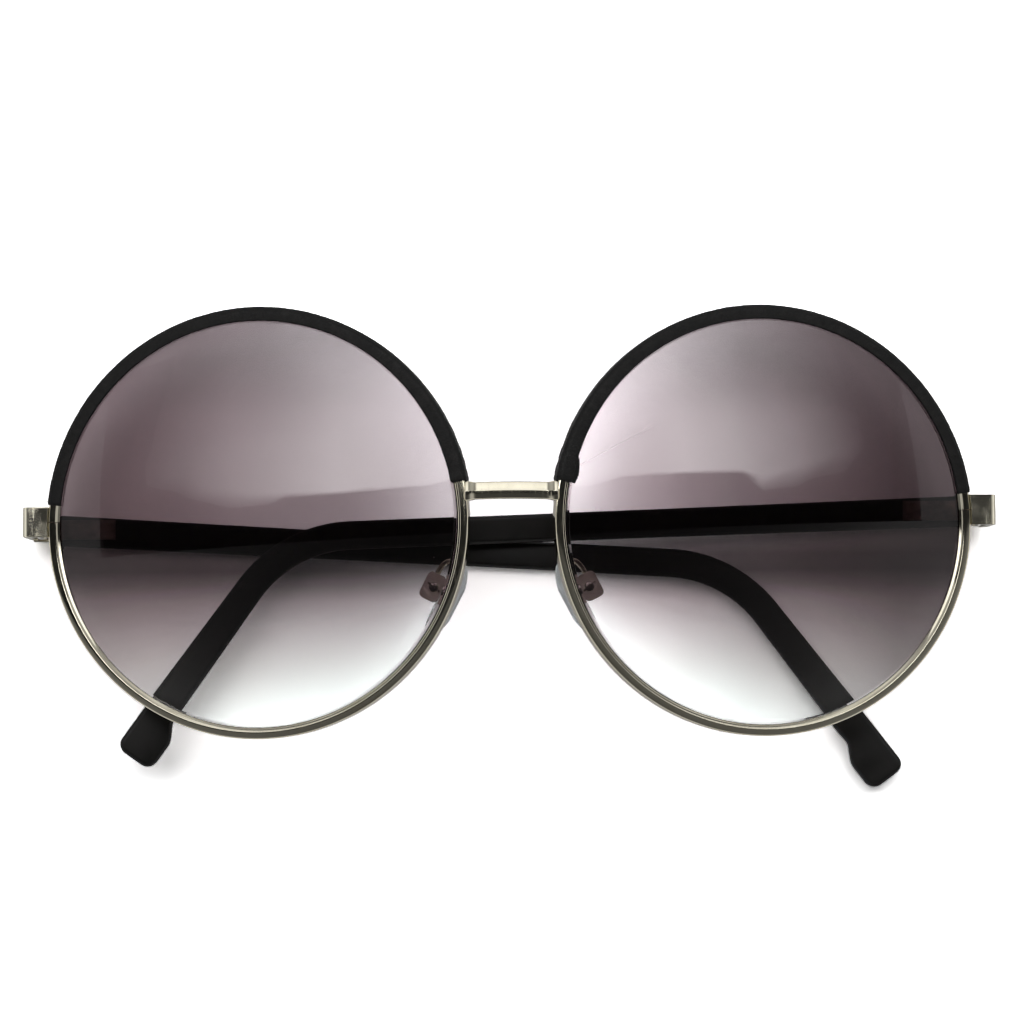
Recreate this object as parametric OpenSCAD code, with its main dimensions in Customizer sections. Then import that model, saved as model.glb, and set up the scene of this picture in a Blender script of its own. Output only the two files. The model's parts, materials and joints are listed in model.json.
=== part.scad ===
// Oversized round sunglasses, folded, lying on their temples with the lenses up.
// Left and right are the wearer's: left is +X. The glasses' top is +Y and their front is +Z.
// Millimetres. The origin is on the flat outer face of the right temple, under the bridge.

/* [Rims and lenses] */
// Diameter of a lens over its bevel
lens_d = 62; // [54:1:68]
// Thickness of a lens
lens_t = 1.8; // [1.5:0.1:2.1]
// Radius of the lens's front curve
lens_curve_r = 130; // [100:5:200]
// Gap between the two rims at the nose
rim_gap = 12.6; // [10:0.2:18]
// Width of the rim wire, seen from the front
rim_w = 1.8; // [1.5:0.1:2.4]
// Depth of the rim wire, front to back
rim_depth = 2.4; // [2.2:0.1:3]
// Radius of the rim wire's edges
rim_round = 0.45; // [0.2:0.05:0.5]
// Depth of the groove that holds the lens
groove_depth = 0.4; // [0.3:0.05:0.6]
// Backward slant of each rim, in degrees
face_wrap = 10.5; // [4:0.1:12]
// Width of the cut that opens the rim for its lens
split_gap = 0.12; // [0.08:0.02:0.3]

/* [Bridge] */
// Height of the bridge above the middle of the rims
bridge_lift = 4.5; // [0:0.1:10]
// Height of the bridge bar
bridge_h = 2.6; // [2:0.1:3.4]
// Depth of the bridge bar
bridge_depth = 1.8; // [1.4:0.1:2.2]
// Height of the bridge's flat front face
bridge_face_h = 1.2; // [0.8:0.1:1.6]
// Rise of the bridge's arch
bridge_arch = 0.25; // [0.15:0.05:0.8]

/* [Leather wrap] */
// Thickness of the leather round the upper rim
leather_t = 0.35; // [0.2:0.05:0.5]
// Gap between the leather's ends and the bridge or end piece
leather_end_gap = 0.3; // [0.1:0.05:1]

/* [End pieces] */
// Width of the end piece's front plate
plate_w = 4.1; // [3.6:0.1:6]
// Height of the front plate
plate_h = 4.6; // [4:0.1:6]
// Thickness of the front plate
plate_t = 1.1; // [0.8:0.1:1.4]
// Thickness of the arm that runs back to the hinge
arm_t = 1.3; // [1:0.1:1.5]
// Outer radius of the corner between plate and arm
corner_r = 1.2; // [0.6:0.1:2]
// Distance from the hinge axis to the plate's front face
end_reach = 9.8; // [8:0.1:14]
// How far the plate stands in front of the rim
plate_proud = 0.3; // [0.1:0.05:0.6]
// Height of the left plate above the middle of the rims
left_end_lift = 1.8; // [0:0.1:3]
// Height of the right plate above the middle of the rims
right_end_lift = 0.6; // [0:0.1:3]
// Height of the closing blocks, both together
block_h = 4.2; // [3.6:0.1:4.6]
// Depth of the closing blocks behind the rim's middle
block_depth = 1.7; // [1.5:0.1:2.4]
// Radius of the rim screw
rim_screw_r = 0.45; // [0.35:0.05:0.55]

/* [Hinges] */
// Outer radius of a hinge knuckle
knuckle_r = 1.25; // [1.1:0.05:1.4]
// Radius of the hinge screw
hinge_pin_r = 0.55; // [0.4:0.05:0.7]
// Running clearance round the hinge screw
pin_play = 0.05; // [0.03:0.01:0.08]
// Height of each of the front's two knuckles
front_knuckle_h = 1.1; // [0.9:0.1:1.3]
// Height of the temple's knuckle between them
temple_knuckle_h = 1.4; // [1.1:0.1:1.7]
// Gap between neighbouring knuckles
knuckle_gap = 0.1; // [0.06:0.02:0.16]
// Length of the hinge leaf in the temple
leaf_len = 9; // [7:0.5:14]
// Height of the hinge leaf
leaf_h = 3; // [2.4:0.1:3.4]
// Thickness of the hinge leaf
leaf_t = 0.8; // [0.6:0.05:1]
// Height of the left hinge above the middle of its end piece
left_hinge_lift = 0.3; // [-0.8:0.05:0.8]
// Height of the right hinge above the middle of its end piece
right_hinge_lift = -0.75; // [-0.8:0.05:0.8]

/* [Temples] */
// Length from the hinge axis to the bend's corner
temple_straight = 105.5; // [95:0.5:115]
// Length from the bend's corner to the tip
temple_drop = 41; // [34:1:50]
// Angle of the left temple's bend behind the ear, in degrees
left_bend_angle = 52; // [35:0.5:60]
// Angle of the right temple's bend behind the ear, in degrees
right_bend_angle = 49.5; // [35:0.5:60]
// Radius of the bend's middle line
ear_bend_r = 20; // [12:1:28]
// Thickness of a temple
temple_t = 3; // [2.6:0.1:3.6]
// Height of a temple at its hinge
temple_root_h = 4.7; // [4.3:0.1:6]
// Height of a temple along its middle
temple_h = 4.3; // [3.6:0.1:5]
// Height of the leg just before the paddle
leg_h = 5; // [4.4:0.1:6]
// Height of the paddle at the tip
paddle_h = 6.4; // [5.2:0.1:8]
// Length of the paddle
paddle_len = 4.6; // [4:0.2:9]
// Length of the slope that widens the leg into the paddle
paddle_slope = 3.8; // [2:0.2:6]
// Radius of the paddle's corners
paddle_r = 1.7; // [1:0.1:2.4]
// How far the tip curves inward
tip_curl = 1.5; // [0.5:0.1:2.5]

/* [Nose pads] */
// Length of a nose pad
pad_len = 12.4; // [10:0.2:15]
// Width of a nose pad
pad_w = 6.4; // [5:0.2:8]
// Thickness of a nose pad
pad_t = 1.7; // [1.4:0.1:2.4]
// Radius of the pad's domed nose side
pad_dome_r = 14; // [10:1:30]
// Sideways place of a pad's middle
pad_x = 9.4; // [8:0.1:12]
// Distance of a pad's middle below the middle of the rims
pad_low = 11.9; // [9:0.1:15]
// Distance of a pad's middle behind the rim's front at the nose
pad_back = 8.8; // [7.4:0.1:10]
// Slant of the pads, wider below, in degrees
pad_slant = 27; // [15:1:35]
// Splay of the pads, wider behind, in degrees
pad_splay = 25; // [15:1:35]
// Width of a pad box
box_w = 3; // [2.6:0.1:3.6]
// Height of a pad box
box_h = 4.2; // [3.8:0.1:5]
// Depth of a pad box
box_depth = 2.6; // [2.4:0.1:3.2]
// Wall of a pad box
box_wall = 0.5; // [0.35:0.05:0.6]
// Radius of the pad box's corners
box_r = 0.8; // [0.4:0.05:1.1]
// Height of the pad box above the pad's middle
box_up = 0.9; // [0:0.1:2]
// Distance from the pad's back to the pad box
box_stand = 0.85; // [0.8:0.05:1.2]
// Radius of the pad screw
pad_pin_r = 0.4; // [0.3:0.05:0.5]
// Thickness of the tab that the pad screw holds
tab_t = 1.1; // [0.8:0.1:1.2]
// Radius of the tab's round end
tab_r = 0.85; // [0.75:0.05:0.95]
// Radius of the wire that carries the pad box
arm_wire_r = 0.42; // [0.3:0.02:0.44]
// Angle below the nose where the wire leaves the rim, in degrees
arm_root_angle = 15.5; // [10:0.5:24]

/* [Folded pose] */
// Downward slope of the left temple, in degrees
left_slope = 2.1; // [0:0.1:5]
// Downward slope of the right temple, in degrees
right_slope = 3.3; // [0:0.1:5]
// Tilt of the left temple over the right one, in degrees
left_tilt = 3.3; // [3.2:0.1:4]

/* [Hidden] */
$fn = 96;
fine_fn = 360;

left = 1;
right = -1;

// How far every cutting shape runs past what it cuts
overrun = 1;
// Clearance between the lens and its groove, and between leather and rim
seat_gap = 0.02;
// How far the parts of one solid reach into each other
fuse = 0.2;
// Share of the rim's depth that its groove takes
groove_share = 0.42;

// Rims
groove_r = lens_d / 2 + seat_gap;
rim_in_r = groove_r - groove_depth;
rim_out_r = rim_in_r + rim_w;
rim_mid_r = (rim_in_r + rim_out_r) / 2;
ring_x = rim_gap / 2 + rim_out_r * cos(face_wrap);
hinge_z = temple_t;
plate_front_z = hinge_z + end_reach;
ring_z = plate_front_z - plate_proud + rim_out_r * sin(face_wrap) - rim_depth / 2 * cos(face_wrap);
groove_h = rim_depth * groove_share;
lens_sag = lens_curve_r - sqrt(pow(lens_curve_r, 2) - pow(lens_d / 2, 2));
lens_back_r = lens_curve_r - lens_t;
lens_reach = lens_sag + lens_t;

// End pieces and hinges
end_outer_x = ring_x + rim_out_r * cos(face_wrap) + plate_w;
arm_x = end_outer_x - arm_t;
hinge_x = end_outer_x - temple_t;
root_gap = 0.15;
notch_r = knuckle_r + root_gap;
knuckles_h = 2 * front_knuckle_h + temple_knuckle_h + 2 * knuckle_gap;
pin_head_r = 1;
pin_head_h = 0.5;
slot_w = 0.25;
slot_depth = 0.25;
block_w = plate_w;
block_screw_x = rim_out_r + (plate_w - arm_t) / 2;
block_screw_z = -block_depth / 2 + plate_proud / 2;
rim_head_r = 0.75;
rim_head_h = 0.4;

// The rims' middle sits so far up that the right temple passes under the bridge at y = 0
front_y = hinge_x * tan(right_slope) - right_end_lift - right_hinge_lift;

// Bridge
bridge_z = ring_z + rim_out_r * sin(face_wrap);
bridge_span = rim_gap + 2 * rim_depth;
bridge_r = (pow(bridge_span / 2, 2) + pow(bridge_arch, 2)) / (2 * bridge_arch);
bridge_angle = 2 * asin(bridge_span / 2 / bridge_r);

// Temples
flat_bend = min(left_bend_angle, right_bend_angle);
tip_u = temple_straight + temple_drop * cos(flat_bend) + paddle_h;
curl_start = temple_straight;
curl_run = temple_drop * cos(flat_bend);
curl_r = (pow(curl_run, 2) + pow(tip_curl, 2)) / (2 * tip_curl);
curl_steps = 10;

// Nose pads
pad_z = ring_z + rim_out_r * sin(face_wrap) + rim_depth / 2 - pad_back;
box_out = pad_t / 2 + box_stand + box_w / 2;
pin_x = -box_w / 2 + box_wall + tab_r;
pin_play_pad = 0.05;
pad_head_r = 0.75;
pad_head_h = 0.35;
core_len = 5.6;
core_w = 3;
core_t = 0.6;
neck_h = 1.2;
cavity_h = box_h - 2 * box_wall;

function end_lift(side) = side > 0 ? left_end_lift : right_end_lift;
function hinge_lift(side) = end_lift(side) + (side > 0 ? left_hinge_lift : right_hinge_lift);
function slope(side) = side > 0 ? left_slope : right_slope;
function tilt(side) = side > 0 ? left_tilt : 0;
function bend(side) = side > 0 ? left_bend_angle : right_bend_angle;
function bend_tangent(side) = ear_bend_r * tan(bend(side) / 2);
function bend_start(side) = temple_straight - bend_tangent(side);
function leg_len(side) = temple_drop - bend_tangent(side);

// Draws the left side as it is and the right side as its mirror image
module on_side(side) {
    if (side > 0) {
        children();
    } else {
        mirror([1, 0, 0]) children();
    }
}

// The rims' middle height
module front_frame() {
    translate([0, front_y, 0]) children();
}

// The plane of one rim: x runs away from the nose and z runs forwards
module ring_frame() {
    front_frame() translate([ring_x, 0, ring_z]) rotate([0, face_wrap, 0]) children();
}

// The hinge axis is Y, and the folded temple runs along -X with its inner face at z = 0
module hinge_frame(side) {
    front_frame() translate([hinge_x, hinge_lift(side), hinge_z]) children();
}

module temple_frame(side) {
    hinge_frame(side) rotate([0, tilt(side), 0]) mirror([1, 0, 0]) children();
}

module y_cylinder(r, h) {
    rotate([90, 0, 0]) cylinder(r = r, h = h, center = true);
}

// A rectangle with round corners, its lower left corner at [x, y]
module round_rect(x, y, w, h, r) {
    translate([x + r, y]) square([w - 2 * r, h]);
    translate([x, y + r]) square([w, h - 2 * r]);
    for (cx = [x + r, x + w - r], cy = [y + r, y + h - r]) {
        translate([cx, cy]) circle(r = r, $fn = 32);
    }
}

// Rims

module groove_profile(depth, h) {
    polygon([[rim_in_r - overrun, -h / 2], [rim_in_r, -h / 2], [rim_in_r + depth, 0],
             [rim_in_r, h / 2], [rim_in_r - overrun, h / 2]]);
}

module rim_profile() {
    difference() {
        round_rect(rim_in_r, -rim_depth / 2, rim_w, rim_depth, rim_round);
        groove_profile(groove_depth, groove_h);
    }
}

module rim(side) {
    color("silver") on_side(side) ring_frame() difference() {
        rotate_extrude($fn = fine_fn) rim_profile();
        translate([rim_in_r - overrun, end_lift(side) - split_gap / 2, -rim_depth])
            cube([rim_w + 2 * overrun, split_gap, 2 * rim_depth]);
    }
}

// The space inside a rim's outer surface, for cutting what is soldered to it
module rim_space() {
    ring_frame() cylinder(r = rim_out_r, h = 8 * rim_depth, center = true, $fn = fine_fn);
}

// Lenses

module lens_edge() {
    edge_r = rim_in_r - seat_gap;
    edge_h = groove_h - 2 * seat_gap;
    rotate_extrude($fn = fine_fn) polygon([[0, -lens_reach], [edge_r, -lens_reach],
        [edge_r, -edge_h / 2], [lens_d / 2, 0], [edge_r, edge_h / 2],
        [edge_r, lens_reach], [0, lens_reach]]);
}

module lens(side) {
    front_z = lens_sag + lens_t / 2 - lens_curve_r;
    color("rosybrown") on_side(side) ring_frame() intersection() {
        difference() {
            translate([0, 0, front_z]) sphere(r = lens_curve_r, $fn = fine_fn);
            translate([0, 0, front_z]) sphere(r = lens_back_r, $fn = fine_fn);
        }
        lens_edge();
    }
}

// Leather wraps

module leather_profile() {
    inner_w = rim_w + 2 * seat_gap;
    inner_h = rim_depth + 2 * seat_gap;
    lip_r = rim_in_r - leather_t - seat_gap;
    lens_rise = sqrt(pow(lens_curve_r, 2) - pow(lip_r, 2)) - sqrt(pow(lens_curve_r, 2) - pow(lens_d / 2, 2));
    slot_low = -lens_t / 2 - 2 * seat_gap;
    slot_h = lens_t + lens_rise + 4 * seat_gap;
    difference() {
        round_rect(lip_r, -inner_h / 2 - leather_t,
                   inner_w + 2 * leather_t, inner_h + 2 * leather_t, rim_round + leather_t);
        round_rect(rim_in_r - seat_gap, -inner_h / 2, inner_w, inner_h, rim_round);
        translate([lip_r - overrun, slot_low]) square([leather_t + overrun + rim_round, slot_h]);
    }
}

module leather_wrap(side) {
    temporal = asin((end_lift(side) + plate_h / 2 + leather_end_gap) / rim_out_r);
    nasal = 180 - asin((bridge_lift + bridge_h / 2 + leather_end_gap) / rim_out_r);
    color("dimgray") on_side(side) ring_frame() rotate([0, 0, temporal])
        rotate_extrude(angle = nasal - temporal, $fn = fine_fn) leather_profile();
}

// Bridge

module bridge_profile() {
    bevel_h = bridge_h - bridge_face_h;
    polygon([[-bridge_h / 2, -bridge_depth / 2], [bridge_h / 2, -bridge_depth / 2],
             [bridge_h / 2, bridge_depth / 2 - bevel_h / 2],
             [bridge_face_h - bridge_h / 2, bridge_depth / 2], [-bridge_h / 2, bridge_depth / 2]]);
}

module bridge() {
    color("lightgray") difference() {
        front_frame() translate([0, bridge_lift - bridge_r, bridge_z])
            rotate([0, 0, 90 - bridge_angle / 2])
            rotate_extrude(angle = bridge_angle, $fn = fine_fn) translate([bridge_r, 0]) bridge_profile();
        rim_space();
        mirror([1, 0, 0]) rim_space();
    }
}

// End pieces

module end_profile() {
    plate_in_x = end_outer_x - plate_w - rim_w;
    translate([plate_in_x, plate_front_z - plate_t])
        square([end_outer_x - corner_r - plate_in_x, plate_t]);
    translate([arm_x, hinge_z + root_gap])
        square([arm_t, end_reach - corner_r - root_gap]);
    intersection() {
        translate([end_outer_x - corner_r, plate_front_z - corner_r]) difference() {
            circle(r = corner_r);
            circle(r = max(corner_r - plate_t, corner_r - arm_t, seat_gap));
        }
        translate([end_outer_x - corner_r, plate_front_z - corner_r]) square(corner_r + overrun);
    }
    translate([arm_x, plate_front_z - plate_t - root_gap]) square([arm_t - corner_r / 2, root_gap]);
}

module end_solid(side) {
    difference() {
        front_frame() translate([0, end_lift(side) + plate_h / 2, 0]) rotate([90, 0, 0])
            linear_extrude(plate_h) end_profile();
        rim_space();
    }
}

// One of the front's knuckles, joined to the arm above the temple's path
module front_knuckle(side, y) {
    hinge_frame(side) translate([0, y, 0]) difference() {
        union() {
            y_cylinder(knuckle_r, front_knuckle_h);
            translate([0, -front_knuckle_h / 2, root_gap])
                cube([arm_x - hinge_x + arm_t / 2, front_knuckle_h, knuckle_r - root_gap]);
        }
        y_cylinder(hinge_pin_r + pin_play, front_knuckle_h + overrun);
    }
}

module end_piece(side) {
    knuckle_y = (temple_knuckle_h + front_knuckle_h) / 2 + knuckle_gap;
    color("darkgray") on_side(side) union() {
        end_solid(side);
        front_knuckle(side, knuckle_y);
        front_knuckle(side, -knuckle_y);
    }
}

// A block on one end of the split rim: up is 1 above the split and -1 below it
module closing_block(side, up) {
    half_h = (block_h - split_gap) / 2;
    y = end_lift(side) + up * (split_gap + half_h) / 2;
    on_side(side) difference() {
        ring_frame() translate([rim_mid_r, y - half_h / 2, -block_depth])
            cube([block_w + rim_w / 2, half_h, block_depth + rim_depth / 2 - rim_round]);
        rim_space();
        ring_frame() translate([block_screw_x, y, block_screw_z])
            y_cylinder(rim_screw_r + pin_play, block_h);
        front_frame() translate([arm_x, end_lift(side) - block_h, hinge_z])
            cube([plate_w, 2 * block_h, end_reach + overrun]);
        front_frame() translate([0, end_lift(side) - block_h, plate_front_z - plate_t])
            cube([end_outer_x + overrun, 2 * block_h, end_reach]);
    }
}

module upper_block(side) {
    color("silver") closing_block(side, 1);
}

module lower_block(side) {
    color("lightgray") closing_block(side, -1);
}

// A screw along Y with its slotted head at the top, the middle of its shank at the origin
module y_screw(shank_r, shank_h, head_r, head_h) {
    difference() {
        union() {
            y_cylinder(shank_r, shank_h);
            translate([0, (shank_h + head_h) / 2, 0]) y_cylinder(head_r, head_h);
        }
        translate([-head_r - overrun, shank_h / 2 + head_h - slot_depth, -slot_w / 2])
            cube([2 * (head_r + overrun), slot_depth + overrun, slot_w]);
    }
}

module rim_screw(side) {
    color("gainsboro") on_side(side) ring_frame()
        translate([block_screw_x, end_lift(side), block_screw_z])
        rotate([180, 0, 0]) y_screw(rim_screw_r, block_h, rim_head_r, rim_head_h);
}

module hinge_screw(side) {
    color("gainsboro") on_side(side) hinge_frame(side)
        y_screw(hinge_pin_r, knuckles_h, pin_head_r, pin_head_h);
}

// Temples, drawn along +X from the hinge axis with the inner face at z = 0

module hinge_leaf_solid() {
    difference() {
        union() {
            y_cylinder(knuckle_r, temple_knuckle_h);
            leaf_plate();
        }
        y_cylinder(hinge_pin_r + pin_play, temple_knuckle_h + overrun);
    }
}

// The leaf's plate, with the neck that joins it to its knuckle
module leaf_plate() {
    translate([notch_r, -leaf_h / 2, -leaf_t]) cube([leaf_len, leaf_h, leaf_t]);
    translate([0, -temple_knuckle_h / 2, -leaf_t]) cube([notch_r, temple_knuckle_h, leaf_t]);
}

module hinge_leaf(side) {
    color("goldenrod") on_side(side) temple_frame(side) hinge_leaf_solid();
}

// The part of the temple before the bend
module straight_outline(side) {
    end = bend_start(side);
    polygon([[-overrun, -temple_root_h / 2], [end / 2, -temple_h / 2],
             [end + fuse, -temple_h / 2], [end + fuse, temple_h / 2],
             [end / 2, temple_h / 2], [-overrun, temple_root_h / 2]]);
}

module bend_outline(side) {
    reach = ear_bend_r + temple_h;
    translate([bend_start(side), -ear_bend_r]) intersection() {
        difference() {
            circle(r = ear_bend_r + temple_h / 2);
            circle(r = ear_bend_r - temple_h / 2);
        }
        polygon([[0, 0], [0, reach], [reach * tan(bend(side) / 2), reach],
                 [2 * reach * sin(bend(side)), 2 * reach * cos(bend(side))]]);
    }
}

// The leg runs along +X here, from the end of the bend to the tip
module leg_outline(side) {
    end = leg_len(side);
    paddle_low = paddle_h - leg_h / 2;
    polygon([[-fuse, -temple_h / 2], [0, -temple_h / 2], [end - paddle_len - paddle_slope, -leg_h / 2],
             [end - paddle_len, -paddle_low], [end - paddle_r, -paddle_low],
             [end, paddle_r - paddle_low], [end, leg_h / 2 - paddle_r],
             [end - paddle_r, leg_h / 2], [end - paddle_len - paddle_slope, leg_h / 2],
             [0, temple_h / 2], [-fuse, temple_h / 2]]);
    for (y = [paddle_r - paddle_low, leg_h / 2 - paddle_r]) {
        translate([end - paddle_r, y]) circle(r = paddle_r);
    }
}

// The temple's whole outline, cut out of a plate from z = low to z = high
module temple_plate(side, low, high) {
    translate([0, 0, low]) {
        linear_extrude(high - low) straight_outline(side);
        linear_extrude(high - low) bend_outline(side);
        translate([bend_start(side), -ear_bend_r, 0]) rotate([0, 0, -bend(side)])
            translate([0, ear_bend_r, 0]) linear_extrude(high - low) leg_outline(side);
    }
}

// A point of the curled tip seen from above, turned through angle a at radius r
function curl_point(a, r) = [curl_start + r * sin(a), curl_r - r * cos(a)];

// The temple seen from above: straight, then curling inward towards the tip
module thickness_outline() {
    turn = asin((tip_u - curl_start) / curl_r) / curl_steps;
    polygon(concat([[-2 * overrun, 0]],
                   [for (i = [0 : curl_steps]) curl_point(i * turn, curl_r)],
                   [for (i = [curl_steps : -1 : 0]) curl_point(i * turn, curl_r + temple_t)],
                   [[-2 * overrun, -temple_t]]));
}

module temple(side) {
    tall = 2 * (temple_straight + temple_drop);
    color("#202020") on_side(side) temple_frame(side) difference() {
        intersection() {
            rotate([0, 0, -slope(side)]) temple_plate(side, -2 * temple_t, 2 * (tip_curl + temple_t));
            translate([0, tall / 2, 0]) rotate([90, 0, 0]) linear_extrude(tall) thickness_outline();
        }
        translate([-2 * overrun, -temple_root_h, -2 * temple_t])
            cube([2 * overrun + root_gap, 2 * temple_root_h, 3 * temple_t]);
        y_cylinder(notch_r, 2 * temple_root_h);
        leaf_plate();
    }
}

// Nose pads

// The pad's middle: y runs up along the pad, and x runs outwards to its back
module pad_frame() {
    front_frame() translate([pad_x, -pad_low, pad_z]) rotate([0, 0, pad_slant]) children();
}

module box_frame() {
    pad_frame() translate([box_out, box_up, box_out * tan(pad_splay) / 2]) children();
}

module pad_box(side) {
    color("silver") on_side(side) box_frame() difference() {
        translate([0, 0, -box_depth / 2]) linear_extrude(box_depth)
            round_rect(-box_w / 2, -box_h / 2, box_w, box_h, box_r);
        translate([-box_w / 2 - overrun, -cavity_h / 2, -box_depth / 2 + box_wall])
            cube([box_w - box_wall + overrun, cavity_h, box_depth - 2 * box_wall]);
        translate([pin_x, 0, 0]) cylinder(r = pad_pin_r + pin_play_pad, h = 2 * box_depth, center = true);
    }
}

module pad_screw(side) {
    color("gainsboro") on_side(side) box_frame() translate([pin_x, 0, 0]) difference() {
        union() {
            cylinder(r = pad_pin_r, h = box_depth, center = true);
            translate([0, 0, box_depth / 2]) cylinder(r = pad_head_r, h = pad_head_h);
        }
        translate([-pad_head_r - overrun, -slot_w / 2, box_depth / 2 + pad_head_h - slot_depth])
            cube([2 * (pad_head_r + overrun), slot_w, slot_depth + overrun]);
    }
}

// The plate inside the pad
module core_plate() {
    pad_frame() rotate([0, -pad_splay, 0])
        translate([-core_t / 2, box_up - core_len / 2, -core_w / 2]) cube([core_t, core_len, core_w]);
}

// The neck runs from the tab in the pad box to the plate in the pad
module core_neck() {
    box_frame() translate([-box_out, -neck_h / 2, -tab_t / 2])
        cube([box_out + pin_x, neck_h, tab_t]);
}

module core_solid() {
    difference() {
        union() {
            core_plate();
            core_neck();
            box_frame() translate([pin_x, 0, 0]) cylinder(r = tab_r, h = tab_t, center = true);
        }
        box_frame() translate([pin_x, 0, 0])
            cylinder(r = pad_pin_r + pin_play_pad, h = 2 * box_depth, center = true);
        pad_frame() rotate([0, -pad_splay, 0])
            translate([-core_t / 2 - pad_t, -pad_len, -pad_w]) cube([pad_t, 2 * pad_len, 2 * pad_w]);
    }
}

module pad_core(side) {
    color("whitesmoke") on_side(side) core_solid();
}

// The pad is an oblong plate with a domed nose side
module nose_pad(side) {
    end_r = pad_w / 2;
    color("azure") on_side(side) difference() {
        pad_frame() rotate([0, -pad_splay, 0]) intersection() {
            translate([-pad_t / 2, 0, 0]) rotate([0, 90, 0]) linear_extrude(pad_t) union() {
                translate([-pad_w / 2, end_r - pad_len / 2]) square([pad_w, pad_len - 2 * end_r]);
                for (y = [end_r - pad_len / 2, pad_len / 2 - end_r]) {
                    translate([0, y]) circle(r = end_r);
                }
            }
            translate([pad_dome_r - pad_t / 2, 0, 0]) sphere(r = pad_dome_r, $fn = fine_fn);
        }
        core_solid();
    }
}

// Pad arms: a wire that leaves the rim's back, loops up and comes down on the pad box

function turned(v, a) = [v[0] * cos(a) - v[1] * sin(a), v[0] * sin(a) + v[1] * cos(a), v[2]];
function ring_point(p) = [ring_x + p[0] * cos(face_wrap) + p[2] * sin(face_wrap), front_y + p[1],
                          ring_z - p[0] * sin(face_wrap) + p[2] * cos(face_wrap)];
function box_point(p) = turned(p + [box_out, box_up, box_out * tan(pad_splay) / 2], pad_slant)
                        + [pad_x, front_y - pad_low, pad_z];
function unit(v) = v / norm(v);
function bezier(p, t) = pow(1 - t, 3) * p[0] + 3 * pow(1 - t, 2) * t * p[1]
                        + 3 * (1 - t) * pow(t, 2) * p[2] + pow(t, 3) * p[3];
function bezier_way(p, t) = unit(pow(1 - t, 2) * (p[1] - p[0]) + 2 * (1 - t) * t * (p[2] - p[1])
                                 + pow(t, 2) * (p[3] - p[2]));
function carried(n, way) = unit(n - (n * way) * way);

wire_steps = 24;
wire_sides = 12;
wire_back = 3.6;
wire_loop = 5;

function wire_controls() =
    let (root = ring_point([-rim_mid_r * cos(arm_root_angle), -rim_mid_r * sin(arm_root_angle),
                            -rim_depth / 2]),
         root_way = [-sin(face_wrap), 0, -cos(face_wrap)],
         seat = box_point([box_w / 2 - box_r - arm_wire_r, box_h / 2, 0]),
         seat_way = turned([0, -1, 0], pad_slant))
    [root, root + wire_back * root_way, seat - wire_loop * seat_way, seat];

module pad_arm(side) {
    way = [for (i = [0 : wire_steps]) bezier_way(wire_controls(), i / wire_steps)];
    across = [for (i = 0, n = carried([0, 1, 0], way[0]); i <= wire_steps;
                   i = i + 1, n = carried(n, way[min(i, wire_steps)])) n];
    points = [for (i = [0 : wire_steps], k = [0 : wire_sides - 1])
        let (turn = 360 * k / wire_sides, n = across[i], m = cross(way[i], n))
        bezier(wire_controls(), i / wire_steps) + arm_wire_r * (cos(turn) * n + sin(turn) * m)];
    sides = [for (i = [0 : wire_steps - 1], k = [0 : wire_sides - 1])
        let (a = i * wire_sides + k, b = i * wire_sides + (k + 1) % wire_sides)
        each [[a, a + wire_sides, b], [b, a + wire_sides, b + wire_sides]]];
    caps = [[for (k = [0 : wire_sides - 1]) k],
            [for (k = [wire_sides - 1 : -1 : 0]) wire_steps * wire_sides + k]];
    color("silver") on_side(side) polyhedron(points = points, faces = concat(sides, caps));
}

bridge();
rim(right);  // right_rim
rim(left);  // left_rim
lens(right);  // right_lens
lens(left);  // left_lens
leather_wrap(right);  // right_leather_wrap
leather_wrap(left);  // left_leather_wrap
end_piece(right);  // right_end_piece
end_piece(left);  // left_end_piece
upper_block(right);  // right_upper_block
upper_block(left);  // left_upper_block
lower_block(right);  // right_lower_block
lower_block(left);  // left_lower_block
rim_screw(right);  // right_rim_screw
rim_screw(left);  // left_rim_screw
pad_arm(right);  // right_pad_arm
pad_arm(left);  // left_pad_arm
pad_box(right);  // right_pad_box
pad_box(left);  // left_pad_box
pad_screw(right);  // right_pad_screw
pad_screw(left);  // left_pad_screw
pad_core(right);  // right_pad_core
pad_core(left);  // left_pad_core
nose_pad(right);  // right_nose_pad
nose_pad(left);  // left_nose_pad
temple(right);  // right_temple
temple(left);  // left_temple
hinge_leaf(right);  // right_hinge_leaf
hinge_leaf(left);  // left_hinge_leaf
hinge_screw(right);  // right_hinge_screw
hinge_screw(left);  // left_hinge_screw
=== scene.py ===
import json
from math import asin, atan2, cos, degrees, exp, hypot, pi, radians, sin, sqrt, tan
import bmesh
import bpy
from mathutils import Matrix, Vector, noise


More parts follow.
